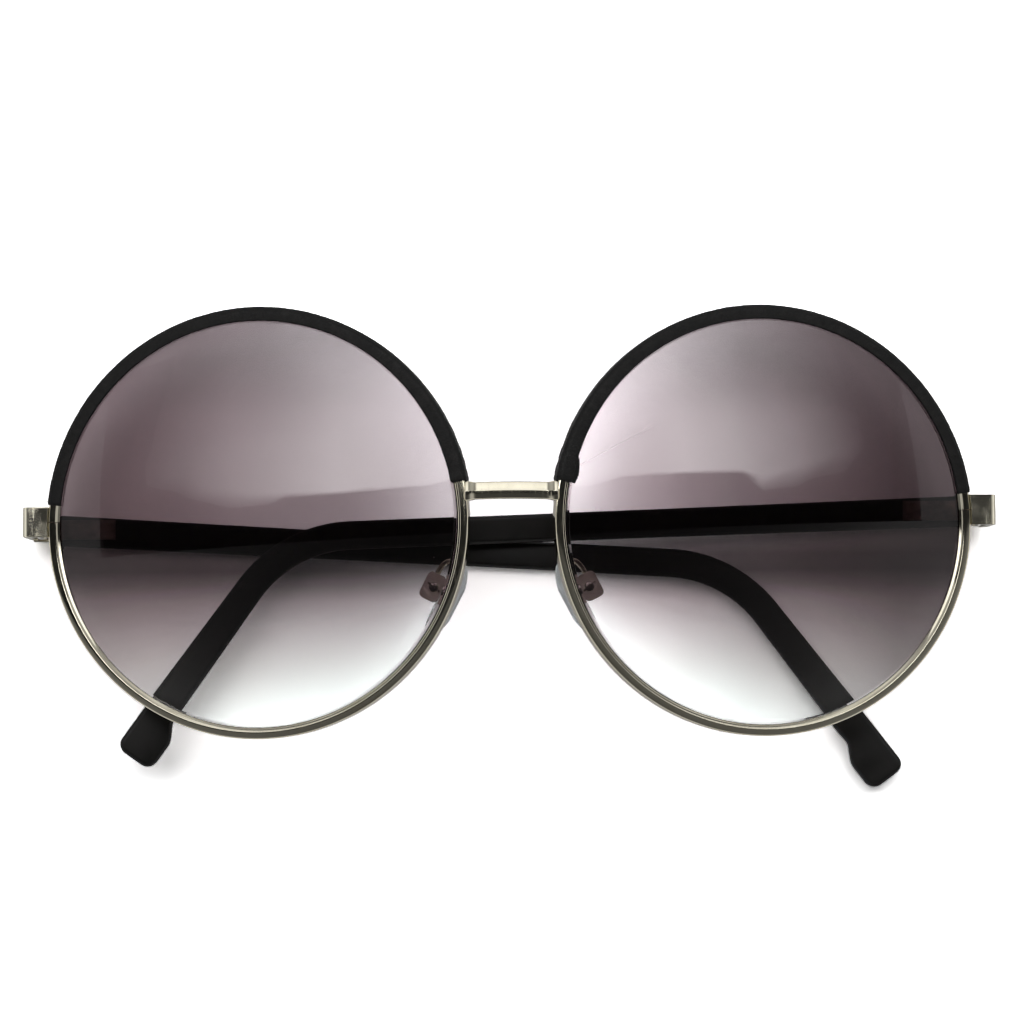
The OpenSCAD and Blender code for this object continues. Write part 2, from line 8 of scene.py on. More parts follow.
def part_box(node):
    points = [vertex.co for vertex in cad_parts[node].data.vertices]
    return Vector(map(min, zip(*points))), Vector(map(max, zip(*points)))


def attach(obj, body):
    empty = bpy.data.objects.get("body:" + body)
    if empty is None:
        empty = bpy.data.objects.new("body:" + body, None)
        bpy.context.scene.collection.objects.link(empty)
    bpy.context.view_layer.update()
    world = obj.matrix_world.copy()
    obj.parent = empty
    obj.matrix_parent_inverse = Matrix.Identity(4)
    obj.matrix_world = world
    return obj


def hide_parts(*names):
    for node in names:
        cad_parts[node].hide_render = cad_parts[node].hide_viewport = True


# Oversized round sunglasses, folded on their temples with the lenses up.
# Sizes are in millimetres and angles in degrees unless a note says otherwise.
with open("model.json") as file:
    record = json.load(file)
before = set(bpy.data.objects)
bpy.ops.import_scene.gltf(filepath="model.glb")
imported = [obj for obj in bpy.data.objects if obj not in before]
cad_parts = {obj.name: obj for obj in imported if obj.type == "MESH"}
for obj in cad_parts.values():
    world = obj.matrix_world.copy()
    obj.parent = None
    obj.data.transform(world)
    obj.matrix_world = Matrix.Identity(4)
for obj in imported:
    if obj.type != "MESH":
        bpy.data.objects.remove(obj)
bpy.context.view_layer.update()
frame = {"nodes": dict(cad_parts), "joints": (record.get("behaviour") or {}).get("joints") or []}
mm = 0.001
sides = {"right": -1, "left": 1}
jointPlace = {j["name"]: Vector(j["pos_m"]) for j in frame["joints"]}
print("frame loaded with", len(frame["nodes"]), "nodes")

# The rims' own plane
frontPlace = {
    "wrap": 10.5,  # backward slant of each rim
    "rimOuter": 32.42,
    "endLift": {"right": 0.6, "left": 1.8},  # end pieces above the rims' middle
}
lowCorner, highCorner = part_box("left_rim")
ringMiddle = (lowCorner + highCorner) / 2
wrap = radians(frontPlace["wrap"])


# A point of the left rim's plane: x runs away from the nose, z forwards
def ringPoint(x, y, z):
    px = ringMiddle.x + (x * cos(wrap) + z * sin(wrap)) * mm
    pz = ringMiddle.z + (z * cos(wrap) - x * sin(wrap)) * mm
    return Vector((px, ringMiddle.y + y * mm, pz))


# The same by radius and angle, in radians
def rimPoint(r, a, z):
    return ringPoint(r * cos(a), r * sin(a), z)


def smoothStep(low, high, value):
    t = min(max((value - low) / (high - low), 0), 1)
    return t * t * (3 - 2 * t)


# Helpers for shapes

# Rounds the corners of an outline, each given as x, y and its radius
def roundedOutline(corners, steps=4):
    points = []
    for i, (x, y, r) in enumerate(corners):
        here = Vector((x, y))
        before = Vector(corners[i - 1][:2]) - here
        after = Vector(corners[(i + 1) % len(corners)][:2]) - here
        if r <= 0:
            points.append(here)
            continue
        half = before.angle(after) / 2
        reach = min(r / tan(half), before.length * 0.48, after.length * 0.48)
        radius = reach * tan(half)
        start = here + before.normalized() * reach
        end = here + after.normalized() * reach
        inward = (before.normalized() + after.normalized()).normalized()
        middle = here + inward * (radius / sin(half))
        for k in range(steps + 1):
            spoke = start.lerp(end, k / steps) - middle
            points.append(middle + spoke.normalized() * radius)
    return points


# Joins rows of equally many points by rings of faces
def joinRows(shape, rows):
    for a, b in zip(rows, rows[1:]):
        for k in range(len(a)):
            n = (k + 1) % len(a)
            shape.faces.new((a[k], a[n], b[n], b[k]))


# Closes a row by faces that meet in a point
def closeRow(shape, row, point):
    pole = shape.verts.new(point)
    for k in range(len(row)):
        shape.faces.new((row[k], row[(k + 1) % len(row)], pole))


# A skin over sections that have equally many points
def skinOver(sections, poles=False):
    shape = bmesh.new()
    rows = [[shape.verts.new(p) for p in section] for section in sections]
    joinRows(shape, rows)
    for row in (rows[0], rows[-1]):
        if poles:
            closeRow(shape, row, sum((v.co for v in row), Vector()) / len(row))
        else:
            shape.faces.new(row)
    return shape


def addObject(name, data):
    thing = bpy.data.objects.new(name, data)
    bpy.context.scene.collection.objects.link(thing)
    return thing


# Writes the shape into the mesh; the right side is the left one mirrored
def fillMesh(mesh, shape, side):
    if side < 0:
        for v in shape.verts:
            v.co.x = -v.co.x
    bmesh.ops.remove_doubles(shape, verts=shape.verts, dist=1e-7)
    bmesh.ops.recalc_face_normals(shape, faces=shape.faces)
    shape.to_mesh(mesh)
    shape.free()


# Smooth faces, with edges above the angle left sharp
def smoothMesh(mesh, sharp):
    mesh.shade_smooth()
    mesh.set_sharp_from_angle(angle=radians(sharp))


def makePiece(name, shape, material, side=1, sharp=35):
    mesh = bpy.data.meshes.new(name)
    fillMesh(mesh, shape, side)
    smoothMesh(mesh, sharp)
    mesh.materials.append(material)
    return addObject(name, mesh)


# Applies what modifiers the piece has and drops them
def bakeModifiers(piece, sharp):
    graph = bpy.context.evaluated_depsgraph_get()
    mesh = bpy.data.meshes.new_from_object(piece.evaluated_get(graph), depsgraph=graph)
    piece.modifiers.clear()
    piece.data = mesh
    smoothMesh(mesh, sharp)
    return piece


# weld is in metres; from is the least angle that is rounded
rounding = {"weld": 2e-6, "flat": 1, "from": 28, "segments": 2, "sharp": 20}


# The CAD node's shape with its edges rounded
def roundedCopy(name, node, width, material):
    shape = bmesh.new()
    shape.from_mesh(frame["nodes"][node].data)
    bmesh.ops.remove_doubles(shape, verts=shape.verts, dist=rounding["weld"])
    flat = radians(rounding["flat"])
    bmesh.ops.dissolve_limit(shape, angle_limit=flat, verts=shape.verts, edges=shape.edges)
    piece = makePiece(name, shape, material)
    bevel = piece.modifiers.new("edges", "BEVEL")
    bevel.width = width * mm
    bevel.segments = rounding["segments"]
    bevel.limit_method = "ANGLE"
    bevel.angle_limit = radians(rounding["from"])
    return bakeModifiers(piece, rounding["sharp"])


# The piece rides on its body and stands for its CAD nodes
def settle(piece, body, slotName, *nodes):
    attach(piece, body)
    if nodes:
        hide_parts(*nodes)


# Helpers for node trees

def plug(tree, value, socket):
    if isinstance(value, bpy.types.NodeSocket):
        tree.links.new(value, socket)
    else:
        socket.default_value = value


# Links or sets a node's inputs, each by its name or its number
def feed(tree, node, inputs):
    for key, value in inputs.items():
        plug(tree, value, node.inputs[key])


def addNode(tree, kind, inputs={}, **settings):
    node = tree.nodes.new(kind)
    for key, value in settings.items():
        setattr(node, key, value)
    feed(tree, node, inputs)
    return node


def calculate(tree, operation, *values, clamp=False):
    inputs = dict(enumerate(values))
    return addNode(tree, "ShaderNodeMath", inputs, operation=operation, use_clamp=clamp).outputs[0]


# The value between low and high gives the low and high of the new range
def remap(tree, value, *limits, curve="SMOOTHSTEP"):
    inputs = dict(enumerate((value, *limits)))
    return addNode(tree, "ShaderNodeMapRange", inputs, interpolation_type=curve).outputs[0]


def mixColours(tree, share, first, second):
    inputs = {0: share, 6: first, 7: second}
    return addNode(tree, "ShaderNodeMix", inputs, data_type="RGBA").outputs[2]


def scaleColour(tree, colour, factor):
    inputs = {0: colour, "Scale": factor}
    return addNode(tree, "ShaderNodeVectorMath", inputs, operation="SCALE").outputs[0]


def splitAxes(tree, place):
    return addNode(tree, "ShaderNodeSeparateXYZ", {0: place}).outputs


def objectPlace(tree):
    return addNode(tree, "ShaderNodeTexCoord").outputs["Object"]


# A ramp through its stops, each a place and a colour or a level
def rampThrough(tree, share, stops):
    ramp = addNode(tree, "ShaderNodeValToRGB", {0: share})
    elements = ramp.color_ramp.elements
    for i, (at, level) in enumerate(stops):
        stop = elements[i] if i < 2 else elements.new(at)
        stop.position = at
        stop.color = (*(level if isinstance(level, tuple) else (level,) * 3), 1)
    return ramp.outputs[0]


def startGroup(name, inputs, outputs):
    group = bpy.data.node_groups.new(name, "ShaderNodeTree")
    for label, value in inputs.items():
        socket = group.interface.new_socket(label, in_out="INPUT", socket_type="NodeSocketFloat")
        socket.default_value = value
    for label in outputs:
        group.interface.new_socket(label, in_out="OUTPUT", socket_type="NodeSocketFloat")
    return group, addNode(group, "NodeGroupInput").outputs, addNode(group, "NodeGroupOutput")


# Object coordinates are in metres, so a scale is 1000 over the size in millimetres
def scaleFor(tree, size):
    return calculate(tree, "DIVIDE", 1000, size)


# Fine surface grain, from pebbles to the dull skin of moulded plastic
def makeGrainGroup():
    group, given, result = startGroup(
        "surface grain", {"Pebble": 0.3, "Fine": 0.08, "Creases": 0.3}, ["Height"]
    )
    place = objectPlace(group)
    pebbles = addNode(group, "ShaderNodeTexVoronoi", {
        "Vector": place, "Scale": scaleFor(group, given["Pebble"]),
    }, feature="DISTANCE_TO_EDGE")
    fine = addNode(group, "ShaderNodeTexNoise", {
        "Vector": place, "Scale": scaleFor(group, given["Fine"]), "Detail": 3,
    })
    rounded = remap(group, pebbles.outputs["Distance"], 0.0, 0.22, 0.0, 1.0)
    part = calculate(group, "MULTIPLY", rounded, given["Creases"])
    rest = calculate(group, "SUBTRACT", 1, given["Creases"])
    finePart = calculate(group, "MULTIPLY", fine.outputs[0], rest)
    feed(group, result, {"Height": calculate(group, "ADD", part, finePart)})
    return group


# Sparse pale specks that settle on everything
def makeDustGroup():
    group, given, result = startGroup(
        "dust specks", {"Spacing": 2.0, "Speck": 0.05, "Share": 0.3}, ["Mask"]
    )
    cells = addNode(group, "ShaderNodeTexVoronoi", {
        "Vector": objectPlace(group), "Scale": scaleFor(group, given["Spacing"]),
    })
    parts = addNode(group, "ShaderNodeSeparateColor", {0: cells.outputs["Color"]}).outputs
    size = calculate(group, "MULTIPLY", given["Speck"], parts[1])
    inside = calculate(group, "LESS_THAN", cells.outputs["Distance"], size)
    chosen = calculate(group, "LESS_THAN", parts[0], given["Share"])
    feed(group, result, {"Mask": calculate(group, "MULTIPLY", inside, chosen)})
    return group


# Smudges from fingers and hairlines from wiping
def makeHandlingGroup():
    group, given, result = startGroup(
        "handling marks", {"Smudge": 6.0, "Hairline": 0.5}, ["Smudges", "Hairlines"]
    )
    place = objectPlace(group)
    smudge = addNode(group, "ShaderNodeTexNoise", {
        "Vector": place, "Scale": scaleFor(group, given["Smudge"]), "Detail": 4,
    })
    stretched = addNode(group, "ShaderNodeMapping", {
        "Vector": place, "Rotation": (0.3, 0.5, 0.6), "Scale": (1, 0.05, 1),
    })
    lines = addNode(group, "ShaderNodeTexNoise", {
        "Vector": stretched.outputs[0], "Scale": scaleFor(group, given["Hairline"]), "Detail": 1,
    })
    feed(group, result, {
        "Smudges": remap(group, smudge.outputs[0], 0.42, 0.68, 0.0, 1.0),
        "Hairlines": remap(group, lines.outputs[0], 0.6, 0.72, 0.0, 1.0),
    })
    return group


grainGroup = makeGrainGroup()
dustGroup = makeDustGroup()
handlingGroup = makeHandlingGroup()


def placeGroup(tree, group, **values):
    return addNode(tree, "ShaderNodeGroup", values, node_tree=group).outputs


def startMaterial(name):
    material = bpy.data.materials.new(name)
    material.use_nodes = True
    tree = material.node_tree
    return material, tree, tree.nodes["Principled BSDF"], tree.nodes["Material Output"]


# The distance is in millimetres
def addBump(tree, shader, height, strength, distance):
    inputs = {"Strength": strength, "Distance": distance * mm, "Height": height}
    feed(tree, shader, {"Normal": addNode(tree, "ShaderNodeBump", inputs).outputs[0]})


# Materials

# Pale champagne plating over metal, from mirror polish to satin
def makeMetal(name, look):
    material, tree, shader, _ = startMaterial(name)
    marks = placeGroup(tree, handlingGroup, Smudge=look["smudge"], Hairline=look["hairline"])
    grain = placeGroup(tree, grainGroup, Pebble=look["grain"], Fine=look["grain"] / 2, Creases=0.1)
    dust = placeGroup(tree, dustGroup, Spacing=3.0, Speck=0.03, Share=0.15)
    tone = mixColours(tree, marks["Smudges"], look["colour"], look["shaded"])
    base = remap(tree, marks["Smudges"], 0.0, 1.0, look["rough"], look["rough"] + look["spread"])
    feed(tree, shader, {
        "Base Color": mixColours(tree, dust["Mask"], tone, (0.7, 0.69, 0.66, 1)),
        "Roughness": calculate(tree, "MULTIPLY_ADD", marks["Hairlines"], look["spread"], base),
        "Metallic": 1,
    })
    addBump(tree, shader, grain["Height"], look["bump"], 0.01)
    return material


polishedMetal = makeMetal("polished champagne metal", {
    "colour": (0.85, 0.8, 0.65, 1), "shaded": (0.78, 0.73, 0.58, 1),
    "rough": 0.05, "spread": 0.05, "smudge": 5.0, "hairline": 0.4, "grain": 0.4, "bump": 0.05,
})
satinMetal = makeMetal("satin champagne metal", {
    "colour": (0.8, 0.76, 0.62, 1), "shaded": (0.73, 0.69, 0.55, 1),
    "rough": 0.1, "spread": 0.07, "smudge": 4.0, "hairline": 0.25, "grain": 0.12, "bump": 0.25,
})
softMetal = makeMetal("tumbled champagne metal", {
    "colour": (0.98, 0.96, 0.88, 1), "shaded": (0.92, 0.9, 0.8, 1),
    "rough": 0.42, "spread": 0.1, "smudge": 2.0, "hairline": 0.2, "grain": 0.12, "bump": 0.2,
})
screwSteel = makeMetal("screw steel", {
    "colour": (0.78, 0.77, 0.74, 1), "shaded": (0.62, 0.6, 0.56, 1),
    "rough": 0.14, "spread": 0.12, "smudge": 1.2, "hairline": 0.15, "grain": 0.15, "bump": 0.2,
})
hingeMetal = makeMetal("dull hinge metal", {
    "colour": (0.2, 0.16, 0.14, 1), "shaded": (0.11, 0.085, 0.075, 1),
    "rough": 0.32, "spread": 0.12, "smudge": 2.0, "hairline": 0.2, "grain": 0.1, "bump": 0.35,
})


# Black moulded plastic with a dull skin
def makePlastic():
    material, tree, shader, _ = startMaterial("matte black plastic")
    marks = placeGroup(tree, handlingGroup, Smudge=9.0, Hairline=0.35)
    grain = placeGroup(tree, grainGroup, Pebble=0.22, Fine=0.09, Creases=0.2)
    dust = placeGroup(tree, dustGroup, Spacing=4.0, Speck=0.035, Share=0.22)
    tone = mixColours(tree, marks["Smudges"], (0.006, 0.0055, 0.005, 1), (0.01, 0.009, 0.0085, 1))
    base = remap(tree, marks["Smudges"], 0.0, 1.0, 0.36, 0.46)
    feed(tree, shader, {
        "Base Color": mixColours(tree, dust["Mask"], tone, (0.35, 0.34, 0.33, 1)),
        "Roughness": calculate(tree, "MULTIPLY_ADD", marks["Hairlines"], -0.05, base),
        "Specular IOR Level": 0.22,
    })
    addBump(tree, shader, grain["Height"], 0.3, 0.02)
    return material


# Thin black leather with a fine pebble
def makeLeather():
    material, tree, shader, _ = startMaterial("black leather")
    marks = placeGroup(tree, handlingGroup, Smudge=3.0, Hairline=0.3)
    grain = placeGroup(tree, grainGroup, Pebble=0.34, Fine=0.1, Creases=0.7)
    dust = placeGroup(tree, dustGroup, Spacing=3.0, Speck=0.03, Share=0.12)
    worn = mixColours(tree, marks["Smudges"], (0.007, 0.0066, 0.0064, 1), (0.014, 0.013, 0.0125, 1))
    # painted shade: the grain's creases are painted darker than its tops
    paintedCreaseShade = mixColours(tree, grain["Height"], (0.003, 0.003, 0.003, 1), worn)
    feed(tree, shader, {
        "Base Color": mixColours(tree, dust["Mask"], paintedCreaseShade, (0.3, 0.29, 0.28, 1)),
        "Roughness": remap(tree, grain["Height"], 0.0, 1.0, 0.6, 0.34),
        "Specular IOR Level": 0.2,
    })
    addBump(tree, shader, grain["Height"], 0.55, 0.05)
    return material


# Lets lamps through glass: shadow rays meet a plain tint instead, the root of its colour for each face
def letLampsThrough(tree, shader, output, colour):
    root = addNode(tree, "ShaderNodeGamma", {0: colour, 1: 0.5}).outputs[0]
    clear = addNode(tree, "ShaderNodeBsdfTransparent", {"Color": root}).outputs[0]
    shadow = addNode(tree, "ShaderNodeLightPath").outputs["Is Shadow Ray"]
    mixed = addNode(tree, "ShaderNodeMixShader", {0: shadow, 1: shader.outputs[0], 2: clear})
    feed(tree, output, {"Surface": mixed.outputs[0]})


lensLook = {
    "radius": 31.0,
    # how far up the lens, and the light that it lets through there
    "tint": [
        (0.0, (1.0, 0.995, 0.99)), (0.022, (0.74, 0.735, 0.73)), (0.058, (0.69, 0.68, 0.675)),
        (0.094, (0.655, 0.64, 0.635)), (0.131, (0.58, 0.56, 0.555)), (0.167, (0.52, 0.495, 0.49)),
        (0.204, (0.465, 0.435, 0.435)), (0.26, (0.36, 0.325, 0.33)), (0.313, (0.28, 0.24, 0.248)),
        (0.42, (0.215, 0.176, 0.184)), (0.57, (0.205, 0.164, 0.173)), (0.72, (0.195, 0.153, 0.163)),
        (1.0, (0.185, 0.143, 0.153)),
    ],
    "scratch": ((10.3, 12.5), (21.3, 18.3)),  # ends of a hairline on the left lens
    "scratchWidth": 0.035,
}


# Smoky mauve at the top, clear at the bottom
def makeLensMaterial():
    material, tree, shader, output = startMaterial("graded lens")
    place = objectPlace(tree)
    low, high = (ringMiddle.y + way * lensLook["radius"] * mm for way in (-1, 1))
    height = remap(tree, splitAxes(tree, place)[1], low, high, 0.0, 1.0, curve="LINEAR")
    tint = rampThrough(tree, height, lensLook["tint"])
    # distance from the hairline, along and across it
    (x0, y0), (x1, y1) = lensLook["scratch"]
    turned = addNode(tree, "ShaderNodeMapping", {
        "Vector": place, "Location": (x0 * mm, y0 * mm, 0), "Rotation": (0, 0, atan2(y1 - y0, x1 - x0)),
    }, vector_type="TEXTURE")
    line = splitAxes(tree, turned.outputs[0])
    across = calculate(tree, "ABSOLUTE", line[1])
    thin = calculate(tree, "LESS_THAN", across, lensLook["scratchWidth"] * mm)
    started = calculate(tree, "GREATER_THAN", line[0], 0)
    ended = calculate(tree, "LESS_THAN", line[0], hypot(x1 - x0, y1 - y0) * mm)
    scratch = calculate(tree, "MULTIPLY", calculate(tree, "MULTIPLY", started, ended), thin)
    feed(tree, shader, {
        "Base Color": tint, "Roughness": calculate(tree, "MULTIPLY", scratch, 0.55),
        "IOR": 1.5, "Transmission Weight": 1,
    })
    letLampsThrough(tree, shader, output, tint)
    return material


# Clear soft plastic, a little milky
def makeClear(name, colour, rough, ior, clearness):
    material, tree, shader, output = startMaterial(name)
    marks = placeGroup(tree, handlingGroup, Smudge=2.5, Hairline=0.3)
    dust = placeGroup(tree, dustGroup, Spacing=1.5, Speck=0.04, Share=0.2)
    hazy = tuple(c * 0.93 for c in colour[:3]) + (1,)
    tone = mixColours(tree, marks["Smudges"], colour, hazy)
    feed(tree, shader, {
        "Base Color": mixColours(tree, dust["Mask"], tone, (0.8, 0.8, 0.8, 1)),
        "Roughness": remap(tree, marks["Smudges"], 0.0, 1.0, rough, rough + 0.1),
        "IOR": ior, "Transmission Weight": clearness,
    })
    letLampsThrough(tree, shader, output, tone)
    return material


blackPlastic = makePlastic()
blackLeather = makeLeather()
gradedLens = makeLensMaterial()
clearPad = makeClear("clear pad", (0.84, 0.86, 0.87, 1), 0.3, 1.43, 0.55)
clearPlastic = makeClear("clear insert", (0.9, 0.91, 0.92, 1), 0.06, 1.49, 0.9)
print("materials ready")

# Rims: a shaped wire swept round each lens

rimSizes = {
    "cut": 0.12,  # where the rim opens for its lens
    "steps": 320,
    # radius, height and rounding of the wire's corners, round the section
    "section": [
        (30.62, -0.5, 0), (30.62, -1.2, 0.3), (32.42, -1.2, 0.4), (32.42, 1.2, 0.3),
        (31.3, 1.2, 0.12), (30.98, 0.9, 0.1), (30.66, 0.72, 0.06), (30.62, 0.5, 0), (31.02, 0.0, 0.05),
    ],
}


# Every tree takes geometry and its own inputs
def startTree(name, inputs):
    tree = bpy.data.node_groups.new(name, "GeometryNodeTree")
    tree.interface.new_socket("Geometry", in_out="INPUT", socket_type="NodeSocketGeometry")
    for label, kind in inputs.items():
        tree.interface.new_socket(label, in_out="INPUT", socket_type="NodeSocket" + kind)
    tree.interface.new_socket("Geometry", in_out="OUTPUT", socket_type="NodeSocketGeometry")
    return tree, addNode(tree, "NodeGroupInput").outputs


# It ends with real geometry and its material
def finishTree(tree, geometry, material):
    real = addNode(tree, "GeometryNodeRealizeInstances", {0: geometry})
    paint = addNode(tree, "GeometryNodeSetMaterial", {"Geometry": real.outputs[0], "Material": material})
    addNode(tree, "NodeGroupOutput", {0: paint.outputs[0]})
    return tree


def makeSweepTree():
    tree, given = startTree("wire round a ring", {
        "Radius": "Float", "Start": "Float", "Sweep": "Float", "Steps": "Int",
        "Section": "Object", "Place": "Vector", "Turn": "Vector", "Material": "Material",
    })
    arc = addNode(tree, "GeometryNodeCurveArc", {
        "Resolution": given["Steps"], "Radius": given["Radius"],
        "Start Angle": given["Start"], "Sweep Angle": given["Sweep"],
    }, mode="RADIUS")
    level = addNode(tree, "GeometryNodeSetCurveNormal", {"Curve": arc.outputs["Curve"]}, mode="Z_UP")
    section = addNode(tree, "GeometryNodeObjectInfo", {"Object": given["Section"]})
    sweep = addNode(tree, "GeometryNodeCurveToMesh", {
        "Curve": level.outputs[0], "Profile Curve": section.outputs["Geometry"], "Fill Caps": True,
    })
    turn = addNode(tree, "FunctionNodeEulerToRotation", {0: given["Turn"]})
    move = addNode(tree, "GeometryNodeTransform", {
        "Geometry": sweep.outputs[0], "Translation": given["Place"], "Rotation": turn.outputs[0],
    })
    return finishTree(tree, move.outputs[0], given["Material"])


# Runs a tree on a host mesh and keeps the result as a plain mesh
def growPiece(name, tree, values, host=None, side=1, sharp=35):
    piece = addObject(name, host or bpy.data.meshes.new(name))
    grower = piece.modifiers.new("grow", "NODES")
    grower.node_group = tree
    for item in tree.interface.items_tree:
        if item.in_out == "INPUT" and item.name in values:
            grower[item.identifier] = values[item.name]
    piece.update_tag()
    bakeModifiers(piece, sharp)
    shape = bmesh.new()
    shape.from_mesh(piece.data)
    fillMesh(piece.data, shape, side)
    smoothMesh(piece.data, sharp)
    return piece


# A closed line for a tree to sweep, in millimetres
def makeSection(name, points):
    curve = bpy.data.curves.new(name, "CURVE")
    curve.dimensions = "3D"
    spline = curve.splines.new("POLY")
    spline.points.add(len(points) - 1)
    for point, (x, y) in zip(spline.points, points):
        point.co = (x * mm, y * mm, 0, 1)
    spline.use_cyclic_u = True
    return addObject(name, curve)


sweepTree = makeSweepTree()
sectionPath = roundedOutline(rimSizes["section"])
rimSection = makeSection("rimSection", [(p.x - frontPlace["rimOuter"], -p.y) for p in sectionPath])
for sideName, side in sides.items():
    lift = frontPlace["endLift"][sideName]
    halfCut = asin(rimSizes["cut"] / 2 / frontPlace["rimOuter"])
    rim = growPiece(sideName + "_rim_wire", sweepTree, {
        "Radius": frontPlace["rimOuter"] * mm,
        "Start": asin(lift / frontPlace["rimOuter"]) + halfCut,
        "Sweep": 2 * pi - 2 * halfCut,
        "Steps": rimSizes["steps"],
        "Section": rimSection,
        "Place": ringMiddle,
        "Turn": Vector((0, wrap, 0)),
        "Material": polishedMetal,
    }, side=side)
    settle(rim, "front", "polished_metal", sideName + "_rim")
bpy.data.objects.remove(rimSection)
print("rims swept")

# Lenses: a curved disc with a bevelled edge

lensSizes = {
    "curve": 130.0,  # radius of the front
    "thickness": 1.8,
    "radius": 31.0,
    "faceRadius": 30.3,
    "edgeRadius": 30.58,
    "edgeHalf": 0.46,
    "around": 240,
    "rings": 30,
}


def makeLens(sideName, side):
    z0 = lensSizes["thickness"] / 2 - sqrt(lensSizes["curve"] ** 2 - lensSizes["radius"] ** 2)

    def rise(r, back):
        return sqrt((lensSizes["curve"] - back) ** 2 - r * r) + z0

    shape = bmesh.new()
    outline = []
    for i in range(1, lensSizes["rings"] + 1):
        r = lensSizes["faceRadius"] * i / lensSizes["rings"]
        outline.append((r, rise(r, 0)))
    edge = lensSizes["edgeRadius"]
    outline.append((edge, rise(edge, 0) - 0.22))
    outline.append((edge, lensSizes["edgeHalf"]))
    outline.append((lensSizes["radius"] - 0.02, 0))
    outline.append((edge, -lensSizes["edgeHalf"]))
    outline.append((edge, rise(edge, lensSizes["thickness"]) + 0.12))
    for i in range(lensSizes["rings"], 0, -1):
        r = lensSizes["faceRadius"] * i / lensSizes["rings"]
        outline.append((r, rise(r, lensSizes["thickness"])))
    around = lensSizes["around"]
    rows = [
        [shape.verts.new(rimPoint(r, 2 * pi * k / around, z)) for k in range(around)]
        for r, z in outline
    ]
    joinRows(shape, rows)
    for row, back in ((rows[0], 0), (rows[-1], lensSizes["thickness"])):
        closeRow(shape, row, ringPoint(0, 0, rise(0, back)))
    lens = makePiece(sideName + "_graded_lens", shape, gradedLens, side, sharp=18)
    settle(lens, "front", "tinted_lens", sideName + "_lens")


for sideName, side in sides.items():
    makeLens(sideName, side)
print("lenses ground")

# Leather wraps: a thin strip glued round the upper half of each rim

leatherSizes = {
    "thickness": 0.3,
    "inner": 30.5,
    "outer": 32.72,
    "front": 1.52,
    "back": 1.5,
    "lipFront": 1.12,  # the lips end on the lens
    "lipBack": 1.02,
    "loose": 0.16,  # how much the strip stands off near the nose
    "step": 0.22,
    "wrinkle": 0.035,
    "nasal": 169.5,
    "temporal": {"right": 5.7, "left": 7.8},
}


def leatherSection(a, side, end):
    size = leatherSizes
    loose = size["loose"] * smoothStep(120, 165, a) + 0.05 * smoothStep(30, 8, a)
    low = size["inner"] - 0.6 * loose
    high = size["outer"] + 0.8 * loose
    front = size["front"] + 0.4 * loose
    back = size["back"] + 0.3 * loose
    outer = roundedOutline([
        (low, -size["lipBack"], 0), (low, -back, 0.5), (high, -back, 0.7),
        (high, front, 0.85), (low, front, 0.62), (low, size["lipFront"], 0),
    ], steps=7)
    middle = Vector(((low + high) / 2, 0.1))
    angle = radians(a)
    points = []
    for k, p in enumerate(outer):
        out = (p - middle).normalized()
        # the seam is a shallow groove on the front, near the outer edge
        seam = -0.07 * exp(-(((p.x - (high - 0.42)) / 0.07) ** 2)) if p.y > 0.5 else 0
        along = a * 0.56
        where = Vector((along * 1.9, p.x * 2.2 + side * 40, p.y * 2.2))
        wave = noise.noise(where) * size["wrinkle"]
        folds = noise.noise(Vector((along * 1.1 + p.x * 1.3, side * 9, p.y * 0.6)))
        wave += folds * size["wrinkle"] * (0.6 + 2.2 * smoothStep(140, 166, a))
        lip = 0.3 if k in (0, len(outer) - 1) else 1
        points.append(p + out * (seam + wave) * lip - out * 0.12 * end)
    inward = [middle + (p - middle) * (1 - size["thickness"] / (p - middle).length) for p in outer]
    return [rimPoint(p.x, angle, p.y) for p in points + inward[::-1]]


def makeWrap(sideName, side):
    first = leatherSizes["temporal"][sideName]
    last = leatherSizes["nasal"]
    stepAngle = degrees(leatherSizes["step"] / frontPlace["rimOuter"])
    count = int((last - first) / stepAngle)
    sections = []
    for i in range(count + 1):
        a = first + (last - first) * i / count
        near = min(a - first, last - a) / stepAngle
        sections.append(leatherSection(a, side, 1 - min(near / 1.5, 1)))
    wrapPiece = makePiece(sideName + "_leather", skinOver(sections), blackLeather, side, sharp=50)
    settle(wrapPiece, "front", "black_leather", sideName + "_leather_wrap")


for sideName, side in sides.items():
    makeWrap(sideName, side)

# The untrimmed flap at the left wrap's nasal end, and a loose thread at the right one's outer end
flapSizes = {
    "from": 169.6, "to": 157.5, "steps": 46, "width": 0.95, "thickness": 0.22, "lift": 1.16,
    "edge": 30.62, "root": 30.9,  # radius of the rim's inner edge, and of the flap's root above it
}


def makeFlap():
    sections = []
    for i in range(flapSizes["steps"] + 1):
        t = i / flapSizes["steps"]
        a = flapSizes["from"] + (flapSizes["to"] - flapSizes["from"]) * t
        swell = sin(pi * min(t * 1.15 + 0.22, 1)) ** 0.8
        ragged = 0.16 * noise.noise(Vector((t * 26, 3.7, 0))) + 0.1 * noise.noise(Vector((t * 60, 1, 0)))
        width = max(flapSizes["width"] * swell + ragged, 0.05)
        inner = flapSizes["edge"] - width
        root = flapSizes["root"]
        low = flapSizes["lift"]
        high = low + flapSizes["thickness"] + 0.04 * noise.noise(Vector((t * 12, 0, 5)))
        section = roundedOutline([
            (root, low, 0), (root, high + 0.12, 0.02), (inner, high, 0.08), (inner, low, 0.05)
        ], steps=2)
        sections.append([rimPoint(p.x, radians(a), p.y) for p in section])
    flap = makePiece("left_leather_flap", skinOver(sections), blackLeather, 1, sharp=45)
    settle(flap, "front", "black_leather")


